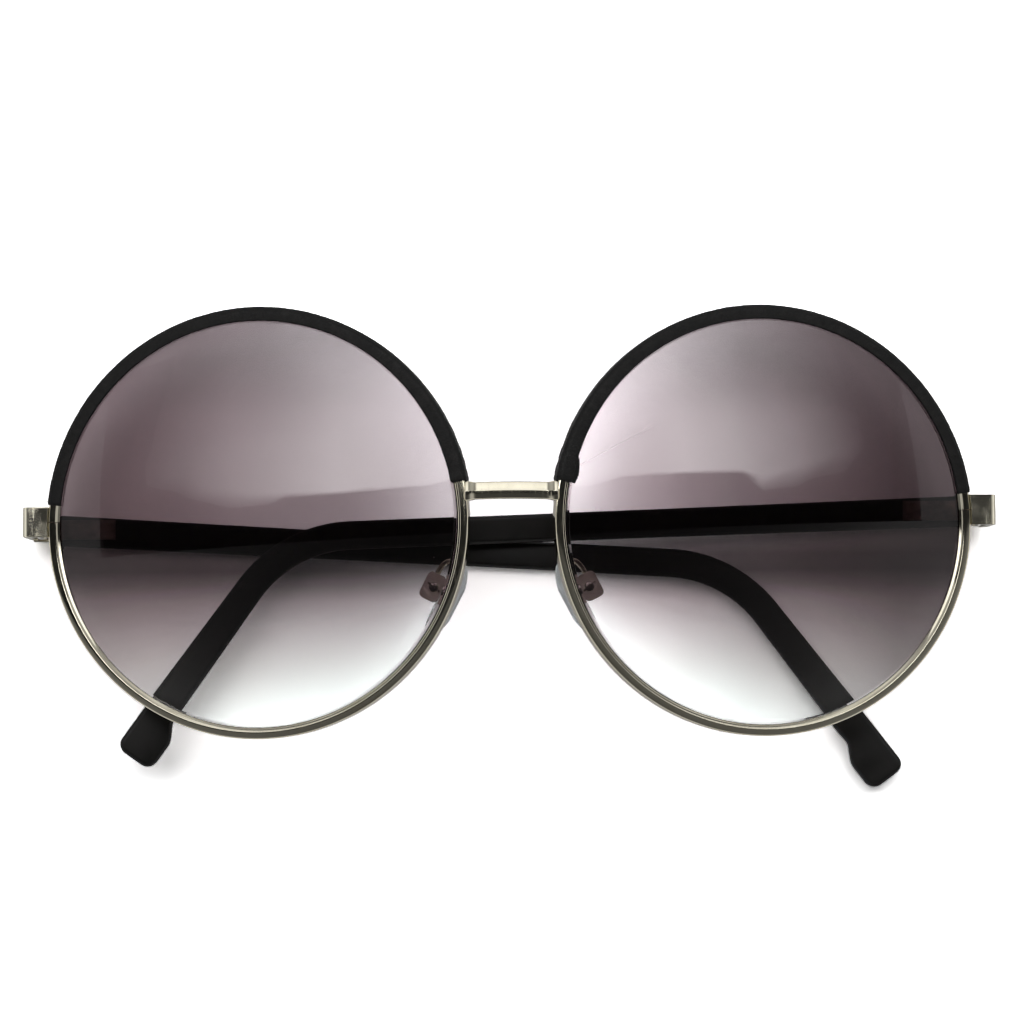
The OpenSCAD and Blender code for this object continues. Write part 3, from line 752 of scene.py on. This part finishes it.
def makeThread(name, way, radius, side):
    sections = []
    for i, (x, y, z) in enumerate(way):
        ahead = Vector(way[min(i + 1, len(way) - 1)]) - Vector(way[max(i - 1, 0)])
        across = ahead.normalized().orthogonal().normalized()
        upward = ahead.normalized().cross(across)
        r = radius * (1 - 0.6 * i / len(way))
        ring = []
        for k in range(8):
            turn = pi * k / 4
            p = Vector((x, y, z)) + (across * cos(turn) + upward * sin(turn)) * r
            ring.append(ringPoint(p.x, p.y, p.z))
        sections.append(ring)
    thread = makePiece(name, skinOver(sections), blackLeather, side, sharp=60)
    settle(thread, "front", "black_leather")


makeFlap()
makeThread("right_loose_thread", [
    (32.2, 3.7, 1.3), (32.5, 3.75, 1.5), (32.8, 3.95, 1.62), (33.0, 4.25, 1.7), (33.12, 4.6, 1.72)
], 0.05, -1)
makeThread("left_loose_thread", [
    (-30.6, 5.3, 1.4), (-30.4, 5.15, 1.45), (-30.15, 5.05, 1.42), (-29.9, 5.1, 1.36)
], 0.045, 1)
print("leather wrapped")

# Bridge: an arched bar with a flat face, a sloped top and soldered ends

bridgeSizes = {
    "lift": 4.5,  # above the rims' middle
    "radius": 151.5,
    "reach": 7.25,
    "steps": 60,
    "section": [
        (-1.3, -0.9, 0.25), (-1.3, 0.9, 0.2), (-0.05, 0.9, 0.1), (1.3, 0.44, 0.22), (1.3, -0.9, 0.25)
    ],
}


def makeBridge():
    low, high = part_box("bridge")
    level = (low.z + high.z) / 2
    outline = roundedOutline(bridgeSizes["section"], steps=4)
    sections = []
    for i in range(bridgeSizes["steps"] + 1):
        t = 2 * i / bridgeSizes["steps"] - 1
        x = bridgeSizes["reach"] * sin(t * pi / 2)
        drop = bridgeSizes["radius"] - sqrt(bridgeSizes["radius"] ** 2 - x * x)
        flare = smoothStep(5.3, 6.5, abs(x))
        end = smoothStep(6.85, bridgeSizes["reach"] + 0.1, abs(x))
        grow = 1 + 0.14 * flare - 0.6 * end
        ring = []
        for p in outline:
            y = bridgeSizes["lift"] - drop + p.x * grow
            z = p.y * grow + 0.3 * flare
            ring.append(Vector((x * mm, ringMiddle.y + y * mm, level + z * mm)))
        sections.append(ring)
    bridge = makePiece("bridge_bar", skinOver(sections, poles=True), polishedMetal, sharp=32)
    settle(bridge, "front", "polished_metal", "bridge")


makeBridge()
print("bridge soldered")

# End pieces and the blocks that close the rims

endSizes = {"edge": 0.16, "blockEdge": 0.12, "leafEdge": 0.06}
for sideName, side in sides.items():
    for node, edge, material, slotName in (
        ("end_piece", endSizes["edge"], satinMetal, "satin_metal"),
        ("upper_block", endSizes["blockEdge"], polishedMetal, "polished_metal"),
        ("lower_block", endSizes["blockEdge"], polishedMetal, "polished_metal"),
    ):
        full = sideName + "_" + node
        piece = roundedCopy(full + "_metal", full, edge, material)
        settle(piece, "front", slotName, full)
    leaf = sideName + "_hinge_leaf"
    piece = roundedCopy(leaf + "_metal", leaf, endSizes["leafEdge"], hingeMetal)
    settle(piece, sideName + "_temple_arm", "hinge_metal", leaf)
print("end pieces rounded")

# Temples: slim bars with a bend behind the ear and a paddle tip

templeSizes = {
    "straight": 105.5, "drop": 41.0, "bendRadius": 20.0, "bend": {"right": 49.5, "left": 52.0},
    "thickness": 3.0, "rootHeight": 4.7, "height": 4.3, "legHeight": 5.0,
    "paddleHeight": 6.4, "paddleLength": 4.6, "paddleSlope": 3.8, "paddleRadius": 1.7,
    "tipCurl": 1.5, "edge": 0.68, "rootGap": 0.15, "notch": 1.4,
    "slope": {"right": 3.3, "left": 2.1},
    "tilt": {"right": 0.0, "left": 3.3},
    "leaf": (9.0, 3.0, 0.8),  # pocket for the hinge leaf
}


# Where one temple's bend starts and ends, and how it turns
def templeCourse(sideName):
    angle = radians(templeSizes["bend"][sideName])
    tangent = templeSizes["bendRadius"] * tan(angle / 2)
    start = templeSizes["straight"] - tangent
    return angle, start, start + templeSizes["bendRadius"] * angle, templeSizes["drop"] - tangent


# The middle, the outward direction and the two edges at distance s from the hinge
def templeAt(s, course):
    size = templeSizes
    angle, start, bendEnd, legLength = course
    r = size["bendRadius"]
    half = size["height"] / 2
    if s < start:
        taper = 1 - min(max(s / (start / 2), 0), 1)
        half += (size["rootHeight"] - size["height"]) / 2 * taper
        return Vector((s, 0)), Vector((0, 1)), -half, half
    turn = min((s - start) / r, angle)
    out = Vector((sin(turn), cos(turn)))
    middle = Vector((start, -r)) + out * r
    if s < bendEnd:
        return middle, out, -half, half
    d = s - bendEnd
    middle += Vector((cos(angle), -sin(angle))) * d
    slopeEnd = legLength - size["paddleLength"]
    slopeStart = slopeEnd - size["paddleSlope"]
    half += (size["legHeight"] - size["height"]) / 2 * min(d / slopeStart, 1)
    widen = smoothStep(slopeStart, slopeEnd, d)
    pinch = 0.16 * exp(-(((d - slopeStart) / 1.3) ** 2))
    low = -half + pinch - (size["paddleHeight"] - size["legHeight"]) * widen
    tip = size["paddleRadius"]
    into = max(d - (legLength - tip), 0)
    corner = tip - sqrt(max(tip * tip - into * into, 0))
    return middle, out, low + corner, half - corner


# A place on a temple by its distances from the hinge, along, across and above its inner face
def templePoint(sideName, x, y, z):
    tilt = radians(templeSizes["tilt"][sideName])
    hinge = jointPlace[sideName + "_temple_hinge"]
    turned = Vector((-x * cos(tilt) + z * sin(tilt), y, x * sin(tilt) + z * cos(tilt)))
    return Vector((abs(hinge.x), hinge.y, hinge.z)) + turned * mm


def templeSection(s, sideName, course):
    size = templeSizes
    middle, out, low, high = templeAt(s, course)
    end = course[2] + course[3]
    edge = size["edge"]
    into = max(s - (end - edge), 0)
    inFace = edge - sqrt(max(edge * edge - into * into, 0))
    outFace = size["thickness"] - inFace
    if s < size["notch"]:
        inFace = sqrt(size["notch"] ** 2 - s * s)
    r = min(edge, (high - low) * 0.45, (outFace - inFace) * 0.42)
    if s < size["notch"] + 0.6:
        r = min(r, 0.25 + 0.43 * smoothStep(size["notch"], size["notch"] + 0.6, s))
    outline = roundedOutline([(low, inFace, r), (high, inFace, r), (high, outFace, r), (low, outFace, r)], 5)
    slope = radians(size["slope"][sideName])
    reach = size["drop"] * cos(radians(min(size["bend"].values())))
    curlRadius = (reach ** 2 + size["tipCurl"] ** 2) / (2 * size["tipCurl"])
    points = []
    for p in outline:
        flat = middle + out * p.x
        x = flat.x * cos(slope) + flat.y * sin(slope)
        y = flat.y * cos(slope) - flat.x * sin(slope)
        past = max(x - size["straight"], 0)
        z = curlRadius - sqrt(curlRadius ** 2 - past ** 2) - p.y
        points.append(templePoint(sideName, x, y, z))
    return points


# Distances from the hinge at which a temple has a section
def templeStations(course):
    size = templeSizes
    notch = size["notch"]
    angle, start, bendEnd, legLength = course
    paddle = legLength - size["paddleRadius"]

    def evenly(first, length, count):
        return [first + length * i / count for i in range(count)]

    def easing(first, length, count):
        return [first + length * sin(pi / 2 * i / count) for i in range(count + 1)]

    stations = easing(size["rootGap"], notch - size["rootGap"], 8)
    stations += [notch + 0.1 * i for i in range(1, 7)]
    stations += evenly(2.2, start - 2.2, 60) + evenly(start, bendEnd - start, 36)
    return stations + evenly(bendEnd, paddle, 70) + easing(bendEnd + paddle, size["paddleRadius"], 16)


def makeTemple(sideName, side):
    course = templeCourse(sideName)
    sections = [templeSection(s, sideName, course) for s in templeStations(course)]
    temple = makePiece(sideName + "_temple_plastic", skinOver(sections), blackPlastic, side, sharp=40)
    # the pocket that the hinge leaf lies in
    length, height, depth = templeSizes["leaf"]
    play = 0.03
    shape = bmesh.new()
    bmesh.ops.create_cube(shape, size=1)
    for v in shape.verts:
        x = templeSizes["notch"] + length / 2 + (v.co.x * (length + 2 * play))
        z = (v.co.z + 0.5) * 2 - depth - play
        y = v.co.y * (height + 2 * play)
        v.co = templePoint(sideName, x, y, z)
    cutter = makePiece("leafPocket", shape, blackPlastic, side)
    cut = temple.modifiers.new("pocket", "BOOLEAN")
    cut.operation = "DIFFERENCE"
    cut.solver = "EXACT"
    cut.object = cutter
    bakeModifiers(temple, sharp=40)
    bpy.data.objects.remove(cutter)
    settle(temple, sideName + "_temple_arm", "black_plastic", sideName + "_temple")


for sideName, side in sides.items():
    makeTemple(sideName, side)
print("temples shaped")

# Nose pads: clear soft pads on a plate, held by a screw in a small box

padSizes = {
    "length": 12.4, "width": 6.4, "thickness": 1.7, "dome": 14.0,
    "x": 9.4, "low": 11.9, "slant": 27.0, "splay": 25.0, "rings": 22, "around": 72,
}


def makePad(sideName, side):
    size = padSizes
    low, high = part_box("left_nose_pad")
    middle = Vector((size["x"] * mm, ringMiddle.y - size["low"] * mm, (low.z + high.z) / 2))
    slanted = Matrix.Rotation(radians(size["slant"]), 3, "Z")
    turn = slanted @ Matrix.Rotation(radians(-size["splay"]), 3, "Y")
    halfThick = size["thickness"] / 2
    endRadius = size["width"] / 2
    straight = size["length"] / 2 - endRadius

    def outlinePoint(k):
        a = 2 * pi * k / size["around"]
        y = endRadius * sin(a) + (straight if sin(a) >= 0 else -straight)
        return y, endRadius * cos(a)

    def domeAt(y, z):
        return size["dome"] - halfThick - sqrt(size["dome"] ** 2 - y * y - z * z)

    shape = bmesh.new()
    rows = []
    steps = size["rings"]
    for front in (True, False):
        order = range(1, steps + 1) if front else range(steps - 1, 0, -1)
        for i in order:
            f = sin(pi / 2 * i / steps)
            row = []
            for k in range(size["around"]):
                y, z = outlinePoint(k)
                y, z = y * f, z * f
                dome = domeAt(y, z)
                centre = (dome + halfThick) / 2
                half = max((halfThick - dome) / 2, 0.12)
                full = sqrt(max(1 - f ** 9, 0))
                x = centre - half * full if front else centre + half * full
                row.append(shape.verts.new(middle + turn @ Vector((x, y, z)) * mm))
            rows.append(row)
    joinRows(shape, rows)
    for row, x in ((rows[0], -halfThick), (rows[-1], halfThick)):
        closeRow(shape, row, middle + turn @ Vector((x, 0, 0)) * mm)
    pad = makePiece(sideName + "_soft_pad", shape, clearPad, side, sharp=60)
    settle(pad, sideName + "_pad", "clear_pad", sideName + "_nose_pad")


for sideName, side in sides.items():
    makePad(sideName, side)
    core = sideName + "_pad_core"
    settle(roundedCopy(core + "_plate", core, 0.06, clearPlastic), sideName + "_pad", "clear_plastic", core)
    holder = sideName + "_pad_box"
    settle(roundedCopy(holder + "_shell", holder, 0.18, softMetal), "front", "polished_metal", holder)
print("pads seated")

# Pad arms: a wire that loops up from the rim's back and down to the pad box

armSizes = {
    "radius": 0.42,
    "steps": 56,
    "around": 18,
    "solder": 0.62,
    "way": [
        (8.093, -4.171, 21.583), (7.437, -4.171, 18.044), (8.869, 1.061, 16.282), (11.139, -3.394, 16.282)
    ],
}


def makeWireTree():
    tree, given = startTree("looped wire", {
        "Root": "Vector", "Root Pull": "Vector", "Seat Pull": "Vector", "Seat": "Vector",
        "Radius": "Float", "Steps": "Int", "Around": "Int", "Solder": "Float", "Material": "Material",
    })
    line = addNode(tree, "GeometryNodeCurvePrimitiveBezierSegment", {
        "Start": given["Root"], "Start Handle": given["Root Pull"],
        "End Handle": given["Seat Pull"], "End": given["Seat"], "Resolution": given["Steps"],
    }, mode="POSITION")
    ring = addNode(tree, "GeometryNodeCurvePrimitiveCircle", {
        "Resolution": given["Around"], "Radius": given["Radius"],
    })
    sweep = addNode(tree, "GeometryNodeCurveToMesh", {
        "Curve": line.outputs[0], "Profile Curve": ring.outputs["Curve"], "Fill Caps": True,
    })
    bead = addNode(tree, "GeometryNodeMeshUVSphere", {
        "Segments": 28, "Rings": 16, "Radius": given["Solder"],
    })
    move = addNode(tree, "GeometryNodeTransform", {
        "Geometry": bead.outputs[0], "Translation": given["Root"],
    })
    join = addNode(tree, "GeometryNodeJoinGeometry", {0: sweep.outputs[0]})
    feed(tree, join, {0: move.outputs[0]})
    return finishTree(tree, join.outputs[0], given["Material"])


wireTree = makeWireTree()
for sideName, side in sides.items():
    way = [Vector(p) * mm for p in armSizes["way"]]
    arm = growPiece(sideName + "_pad_wire", wireTree, {
        "Root": way[0], "Root Pull": way[1], "Seat Pull": way[2], "Seat": way[3],
        "Radius": armSizes["radius"] * mm, "Steps": armSizes["steps"], "Around": armSizes["around"],
        "Solder": armSizes["solder"] * mm, "Material": polishedMetal,
    }, side=side)
    settle(arm, "front", "polished_metal", sideName + "_pad_arm")
print("pad arms bent")

# Screws: one turned shape for each size, set by a tree at every place it belongs

screwSizes = {
    # shank radius and length, head radius and height, and the slot's width and turn in radians
    "hinge_screw": {"shank": 0.55, "length": 3.8, "head": 1.0, "cap": 0.5, "slot": 0.25, "turn": 0.4},
    "rim_screw": {"shank": 0.45, "length": 4.2, "head": 0.75, "cap": 0.4, "slot": 0.25, "turn": 1.1},
    "pad_screw": {"shank": 0.4, "length": 2.6, "head": 0.75, "cap": 0.35, "slot": 0.25, "turn": 0.7},
}


# A screw standing on z, its shank's middle at the origin
def turnScrew(name, size):
    half = size["length"] / 2
    outline = [
        (size["shank"] - 0.08, -half), (size["shank"], -half + 0.08), (size["shank"], half),
        (size["head"] - 0.05, half), (size["head"], half + 0.05),
        (size["head"], half + size["cap"] * 0.55), (size["head"] * 0.93, half + size["cap"] * 0.78),
        (size["head"] * 0.7, half + size["cap"] * 0.94), (size["head"] * 0.35, half + size["cap"]),
    ]
    sections = []
    for r, z in outline:
        turns = [pi * k / 20 for k in range(40)]
        sections.append([Vector((r * cos(t), r * sin(t), z)) * mm for t in turns])
    return makePiece(name, skinOver(sections, poles=True), screwSteel)


def makeScrewTree():
    tree, given = startTree("slotted screws", {
        "Screw": "Object", "Slot Size": "Vector", "Slot Height": "Float", "Material": "Material",
    })
    screw = addNode(tree, "GeometryNodeObjectInfo", {"Object": given["Screw"]})
    slot = addNode(tree, "GeometryNodeMeshCube", {"Size": given["Slot Size"]})
    lift = addNode(tree, "ShaderNodeCombineXYZ", {2: given["Slot Height"]})
    raised = addNode(tree, "GeometryNodeTransform", {
        "Geometry": slot.outputs[0], "Translation": lift.outputs[0],
    })
    cut = addNode(tree, "GeometryNodeMeshBoolean", {
        "Mesh 1": screw.outputs["Geometry"], "Mesh 2": raised.outputs[0],
    }, operation="DIFFERENCE")
    turn = addNode(tree, "GeometryNodeInputNamedAttribute", {"Name": "turn"}, data_type="FLOAT_VECTOR")
    rotation = addNode(tree, "FunctionNodeEulerToRotation", {0: turn.outputs["Attribute"]})
    copies = addNode(tree, "GeometryNodeInstanceOnPoints", {
        "Points": given["Geometry"], "Instance": cut.outputs["Mesh"], "Rotation": rotation.outputs[0],
    })
    return finishTree(tree, copies.outputs[0], given["Material"])


screwTree = makeScrewTree()
for kind, size in screwSizes.items():
    host = bpy.data.meshes.new(kind + "s_set")
    places = []
    turns = []
    for sideName, side in sides.items():
        low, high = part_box(sideName + "_" + kind)
        middle = (low + high) / 2
        if kind == "pad_screw":
            middle.z -= size["cap"] / 2 * mm
            turns.append((0, 0, size["turn"] * side))
        elif kind == "hinge_screw":
            middle.y -= size["cap"] / 2 * mm
            turns.append((-pi / 2, size["turn"] * side, 0))
        else:
            middle.y += size["cap"] / 2 * mm
            turns.append((pi / 2, size["turn"] * side, 0))
        places.append(middle)
    host.from_pydata(places, [], [])
    attribute = host.attributes.new("turn", "FLOAT_VECTOR", "POINT")
    for item, value in zip(attribute.data, turns):
        item.vector = value
    turnedScrew = turnScrew("turnedScrew", size)
    screws = growPiece(kind + "s_set", screwTree, {
        "Screw": turnedScrew,
        "Slot Size": Vector((3 * size["head"], size["slot"], size["cap"])) * mm,
        "Slot Height": (size["length"] / 2 + size["cap"]) * mm,
        "Material": screwSteel,
    }, host=host, sharp=30)
    bpy.data.objects.remove(turnedScrew)
    settle(screws, "front", "screw_steel", "right_" + kind, "left_" + kind)
print("screws set")

# Floor, light and camera

floorLook = {
    "half": 1.6,
    "tone": 0.82,
    "exposure": 4.0,  # how much brighter the camera sees it
    # painted light and shade on the floor where it is seen through glass: a painted pool of light under the
    # nose gap, by place across, and a painted shadow of the temples, darker again towards the top, by place
    # from the lower edge upwards
    "paintedLightAcross": [
        (-66, 1.8), (-58, 2.3), (-50, 2.8), (-43, 3.5), (-34, 3.9), (-25, 4.3), (-18, 5.3), (-10, 7.0),
        (10, 10.4), (20, 7.2), (28, 4.8), (36, 3.35), (45, 2.4), (53, 1.6), (60, 1.05), (68, 0.85),
    ],
    # the painted light's tint: how its green and blue are seen against red
    "paintedLightColour": [
        (-66, (1.0, 0.98, 0.99)), (-50, (1.0, 1.05, 1.05)), (-34, (1.0, 1.13, 1.12)),
        (-10, (1.0, 1.17, 1.16)), (10, (1.0, 1.17, 1.16)), (34, (1.0, 1.13, 1.12)),
        (50, (1.0, 1.04, 1.04)), (68, (1.0, 0.96, 0.98)),
    ],
    "paintedLightAndShadeUp": [
        (-30, 1.45), (-21, 1.35), (-11, 1.5), (-9, 1.45), (-7, 1.35), (-4.7, 0.76), (-2.4, 0.4),
        (0, 0.5), (5, 1.5), (22, 1.5), (27, 1.3), (34, 0.85),
    ],
}


# A level or a colour that follows the stops along one axis, each at its place in millimetres
def levelAlong(tree, place, stops):
    start = stops[0][0]
    reach = stops[-1][0] - start
    share = calculate(tree, "MULTIPLY_ADD", place, 1000 / reach, -start / reach)
    return rampThrough(tree, share, [((x - start) / reach, level) for x, level in stops])


def makeFloor():
    material, tree, shader, _ = startMaterial("white sweep")
    place = objectPlace(tree)
    speckle = addNode(tree, "ShaderNodeTexNoise", {"Vector": place, "Scale": 30}).outputs[0]
    shade = remap(tree, speckle, 0.0, 1.0, floorLook["tone"] - 0.01, floorLook["tone"] + 0.01)
    x, y, _ = splitAxes(tree, place)
    # painted light and shade: seen through glass, the floor is brighter near the nose and darker under the
    # temples, set by place alone
    across = levelAlong(tree, x, floorLook["paintedLightAcross"])
    glass = calculate(tree, "MULTIPLY", across, levelAlong(tree, y, floorLook["paintedLightAndShadeUp"]))
    coloured = scaleColour(tree, levelAlong(tree, x, floorLook["paintedLightColour"]), glass)
    rays = addNode(tree, "ShaderNodeLightPath").outputs
    direct = calculate(tree, "MULTIPLY_ADD", rays["Is Camera Ray"], floorLook["exposure"] - 1, 1)
    gain = mixColours(tree, rays["Is Transmission Ray"], direct, coloured)
    feed(tree, shader, {
        "Base Color": scaleColour(tree, gain, shade), "Roughness": 0.5, "Specular IOR Level": 0.1,
    })
    shape = bmesh.new()
    bmesh.ops.create_grid(shape, x_segments=1, y_segments=1, size=floorLook["half"])
    makePiece("floor", shape, material)


# Metal and glass see a white horizon and a dark ceiling; what lights matt things comes from the top edge
skyLook = {
    # sine of the height, and light
    "levels": [(0.0, 0.9), (0.2, 0.75), (0.36, 0.25), (0.68, 0.15), (0.82, 0.0)],
    "ceiling": 0.045,
    "ceilingSides": 0.3,
    "strip": {"towards": (0.0, 0.67, 0.742), "level": 1.1, "power": 45.0},
    "light": {"towards": (0.0, 0.75, 0.66), "level": 0.6, "power": 2.0},
    "rest": 0.06,
}


# Light that comes from one way and fades around it
def lobe(tree, place, look):
    inputs = {0: place, 1: look["towards"]}
    facing = addNode(tree, "ShaderNodeVectorMath", inputs, operation="DOT_PRODUCT").outputs["Value"]
    share = calculate(tree, "MAXIMUM", facing, 0)
    return calculate(tree, "MULTIPLY", calculate(tree, "POWER", share, look["power"]), look["level"])


def makeSky():
    world = bpy.data.worlds.new("studio")
    bpy.context.scene.world = world
    world.use_nodes = True
    tree = world.node_tree
    place = addNode(tree, "ShaderNodeTexCoord").outputs["Generated"]
    x, _, z = splitAxes(tree, place)
    sideways = calculate(tree, "MULTIPLY", x, x)
    ceiling = calculate(tree, "MULTIPLY_ADD", sideways, skyLook["ceilingSides"], skyLook["ceiling"])
    mirrored = calculate(tree, "ADD", rampThrough(tree, z, skyLook["levels"]), ceiling)
    mirrored = calculate(tree, "ADD", mirrored, lobe(tree, place, skyLook["strip"]))
    beam = calculate(tree, "ADD", lobe(tree, place, skyLook["light"]), skyLook["rest"])
    rays = addNode(tree, "ShaderNodeLightPath").outputs
    shiny = calculate(tree, "ADD", rays["Is Camera Ray"], rays["Is Glossy Ray"])
    shiny = calculate(tree, "ADD", shiny, rays["Is Transmission Ray"], clamp=True)
    feed(tree, tree.nodes["Background"], {"Color": mixColours(tree, shiny, beam, mirrored)})


# The softbox hangs above the glasses' top, and a black card hides its middle from the camera
softbox = {
    "distance": 0.7, "lean": 6.0, "low": 4.5, "high": 36.0, "roll": 2.9,
    "width": 1.4, "spread": 100.0, "power": 3.6,
    "card": {
        "height": 0.62,
        "roll": 2.9,
        "low": 1.0,
        # its upper edge seen from the glasses: sideways, upwards, how far it fades, and the veil above
        "edge": [
            (-50, 16.5, 5.0, 1.0), (-44.5, 13.4, 5.0, 0.97), (-37.5, 10.3, 4.5, 0.68), (-30, 7.2, 3.5, 0.47),
            (-24, 7.2, 2.5, 0.36), (-21, 8.3, 1.0, 0.28), (-13, 8.0, 0.8, 0.05), (-5.5, 8.2, 0.7, 0.32),
            (1, 8.3, 0.7, 0.6), (6, 9.5, 0.7, 0.62), (10, 9.5, 0.7, 0.46), (16, 9.6, 0.7, 0.02),
            (24.5, 9.6, 0.9, 0.05), (27.5, 6.3, 3.0, 0.18), (33, 7.0, 4.0, 0.32), (40.5, 9.0, 5.0, 0.68),
            (45, 10.5, 5.0, 0.97), (49.5, 12.0, 5.0, 1.0), (52, 13.0, 5.0, 1.0),
        ],
        "veil": ((17.0, 0.0), (25.0, 0.35), (36.0, 0.55)),  # height and cover of its sheer upper part
    },
}


def makeSoftbox():
    lean = radians(softbox["lean"])
    facing = Vector((0, sin(lean), cos(lean)))
    upward = Vector((0, cos(lean), -sin(lean)))
    low = softbox["distance"] * tan(radians(softbox["low"] - softbox["lean"]))
    high = softbox["distance"] * tan(radians(softbox["high"] - softbox["lean"]))
    lamp = bpy.data.lights.new("softbox", "AREA")
    lamp.shape = "RECTANGLE"
    lamp.size = softbox["width"]
    lamp.size_y = high - low
    lamp.energy = softbox["power"]
    lamp.spread = radians(softbox["spread"])
    holder = addObject("softbox", lamp)
    middle = facing * softbox["distance"] + upward * (low + high) / 2
    turn = Matrix((Vector((1, 0, 0)), upward, facing)).transposed().to_4x4()
    turn = turn @ Matrix.Rotation(radians(softbox["roll"]), 4, "Z")
    holder.matrix_world = Matrix.Translation(middle) @ turn


def makeCard():
    card = softbox["card"]
    material, tree, shader, output = startMaterial("black card")
    weave = addNode(tree, "ShaderNodeTexNoise", {"Vector": objectPlace(tree), "Scale": 400}).outputs[0]
    dark = mixColours(tree, weave, (0.008, 0.008, 0.008, 1), (0.016, 0.016, 0.016, 1))
    feed(tree, shader, {"Base Color": dark, "Roughness": 0.9})
    clear = addNode(tree, "ShaderNodeBsdfTransparent").outputs[0]
    share = addNode(tree, "ShaderNodeAttribute", attribute_name="cover").outputs["Fac"]
    mixed = addNode(tree, "ShaderNodeMixShader", {0: share, 1: clear, 2: shader.outputs[0]})
    feed(tree, output, {"Surface": mixed.outputs[0]})
    turn = Matrix.Rotation(radians(card["roll"]), 3, "Z")
    shape = bmesh.new()
    cover = shape.verts.layers.float.new("cover")
    rows = []
    for across, along, fade, thin in card["edge"]:
        column = []
        faded = along + fade
        veil = [(max(height, faded + 0.2), 1 - (1 - thin) * (1 - share)) for height, share in card["veil"]]
        for height, share in [(card["low"], 1), (along, 1), (faded, thin)] + veil:
            x = card["height"] * tan(radians(across))
            y = card["height"] * tan(radians(height))
            corner = shape.verts.new(turn @ Vector((x, y, card["height"])))
            corner[cover] = share
            column.append(corner)
        rows.append(column)
    for a, b in zip(rows, rows[1:]):
        for k in range(len(a) - 1):
            shape.faces.new((a[k], b[k], b[k + 1], a[k + 1]))
    makePiece("black_card", shape, material)


# The camera looks straight down, leaning a little towards the glasses' lower edge
cameraPlace = {
    "distance": 500.0, "lean": 3.05, "sideLean": -0.93, "roll": -0.35, "focal": 115.85,
    "target": (0.207, 1.704, 14.0),  # the middle one is above the rims' middle
}


def makeCamera():
    lean = radians(cameraPlace["lean"])
    roll = radians(cameraPlace["roll"])
    sideLean = radians(cameraPlace["sideLean"])
    away = Vector((
        sin(sideLean) * cos(lean), -sin(lean), cos(sideLean) * cos(lean)
    ))
    top = (Vector((0, 1, 0)) - away * away.y).normalized()
    across = top.cross(away)
    right = across * cos(roll) + top * sin(roll)
    upward = top * cos(roll) - across * sin(roll)
    x, y, z = cameraPlace["target"]
    target = Vector((x * mm, ringMiddle.y + y * mm, z * mm))
    data = bpy.data.cameras.new("camera")
    data.lens = cameraPlace["focal"]
    data.sensor_width = 36
    data.clip_start = 0.01
    holder = addObject("camera", data)
    turn = Matrix((right, upward, away)).transposed().to_4x4()
    holder.matrix_world = Matrix.Translation(target + away * cameraPlace["distance"] * mm) @ turn
    bpy.context.scene.camera = holder


makeFloor()
makeSky()
makeSoftbox()
makeCard()
makeCamera()
bpy.context.scene.view_settings.view_transform = "Standard"
print("studio ready")
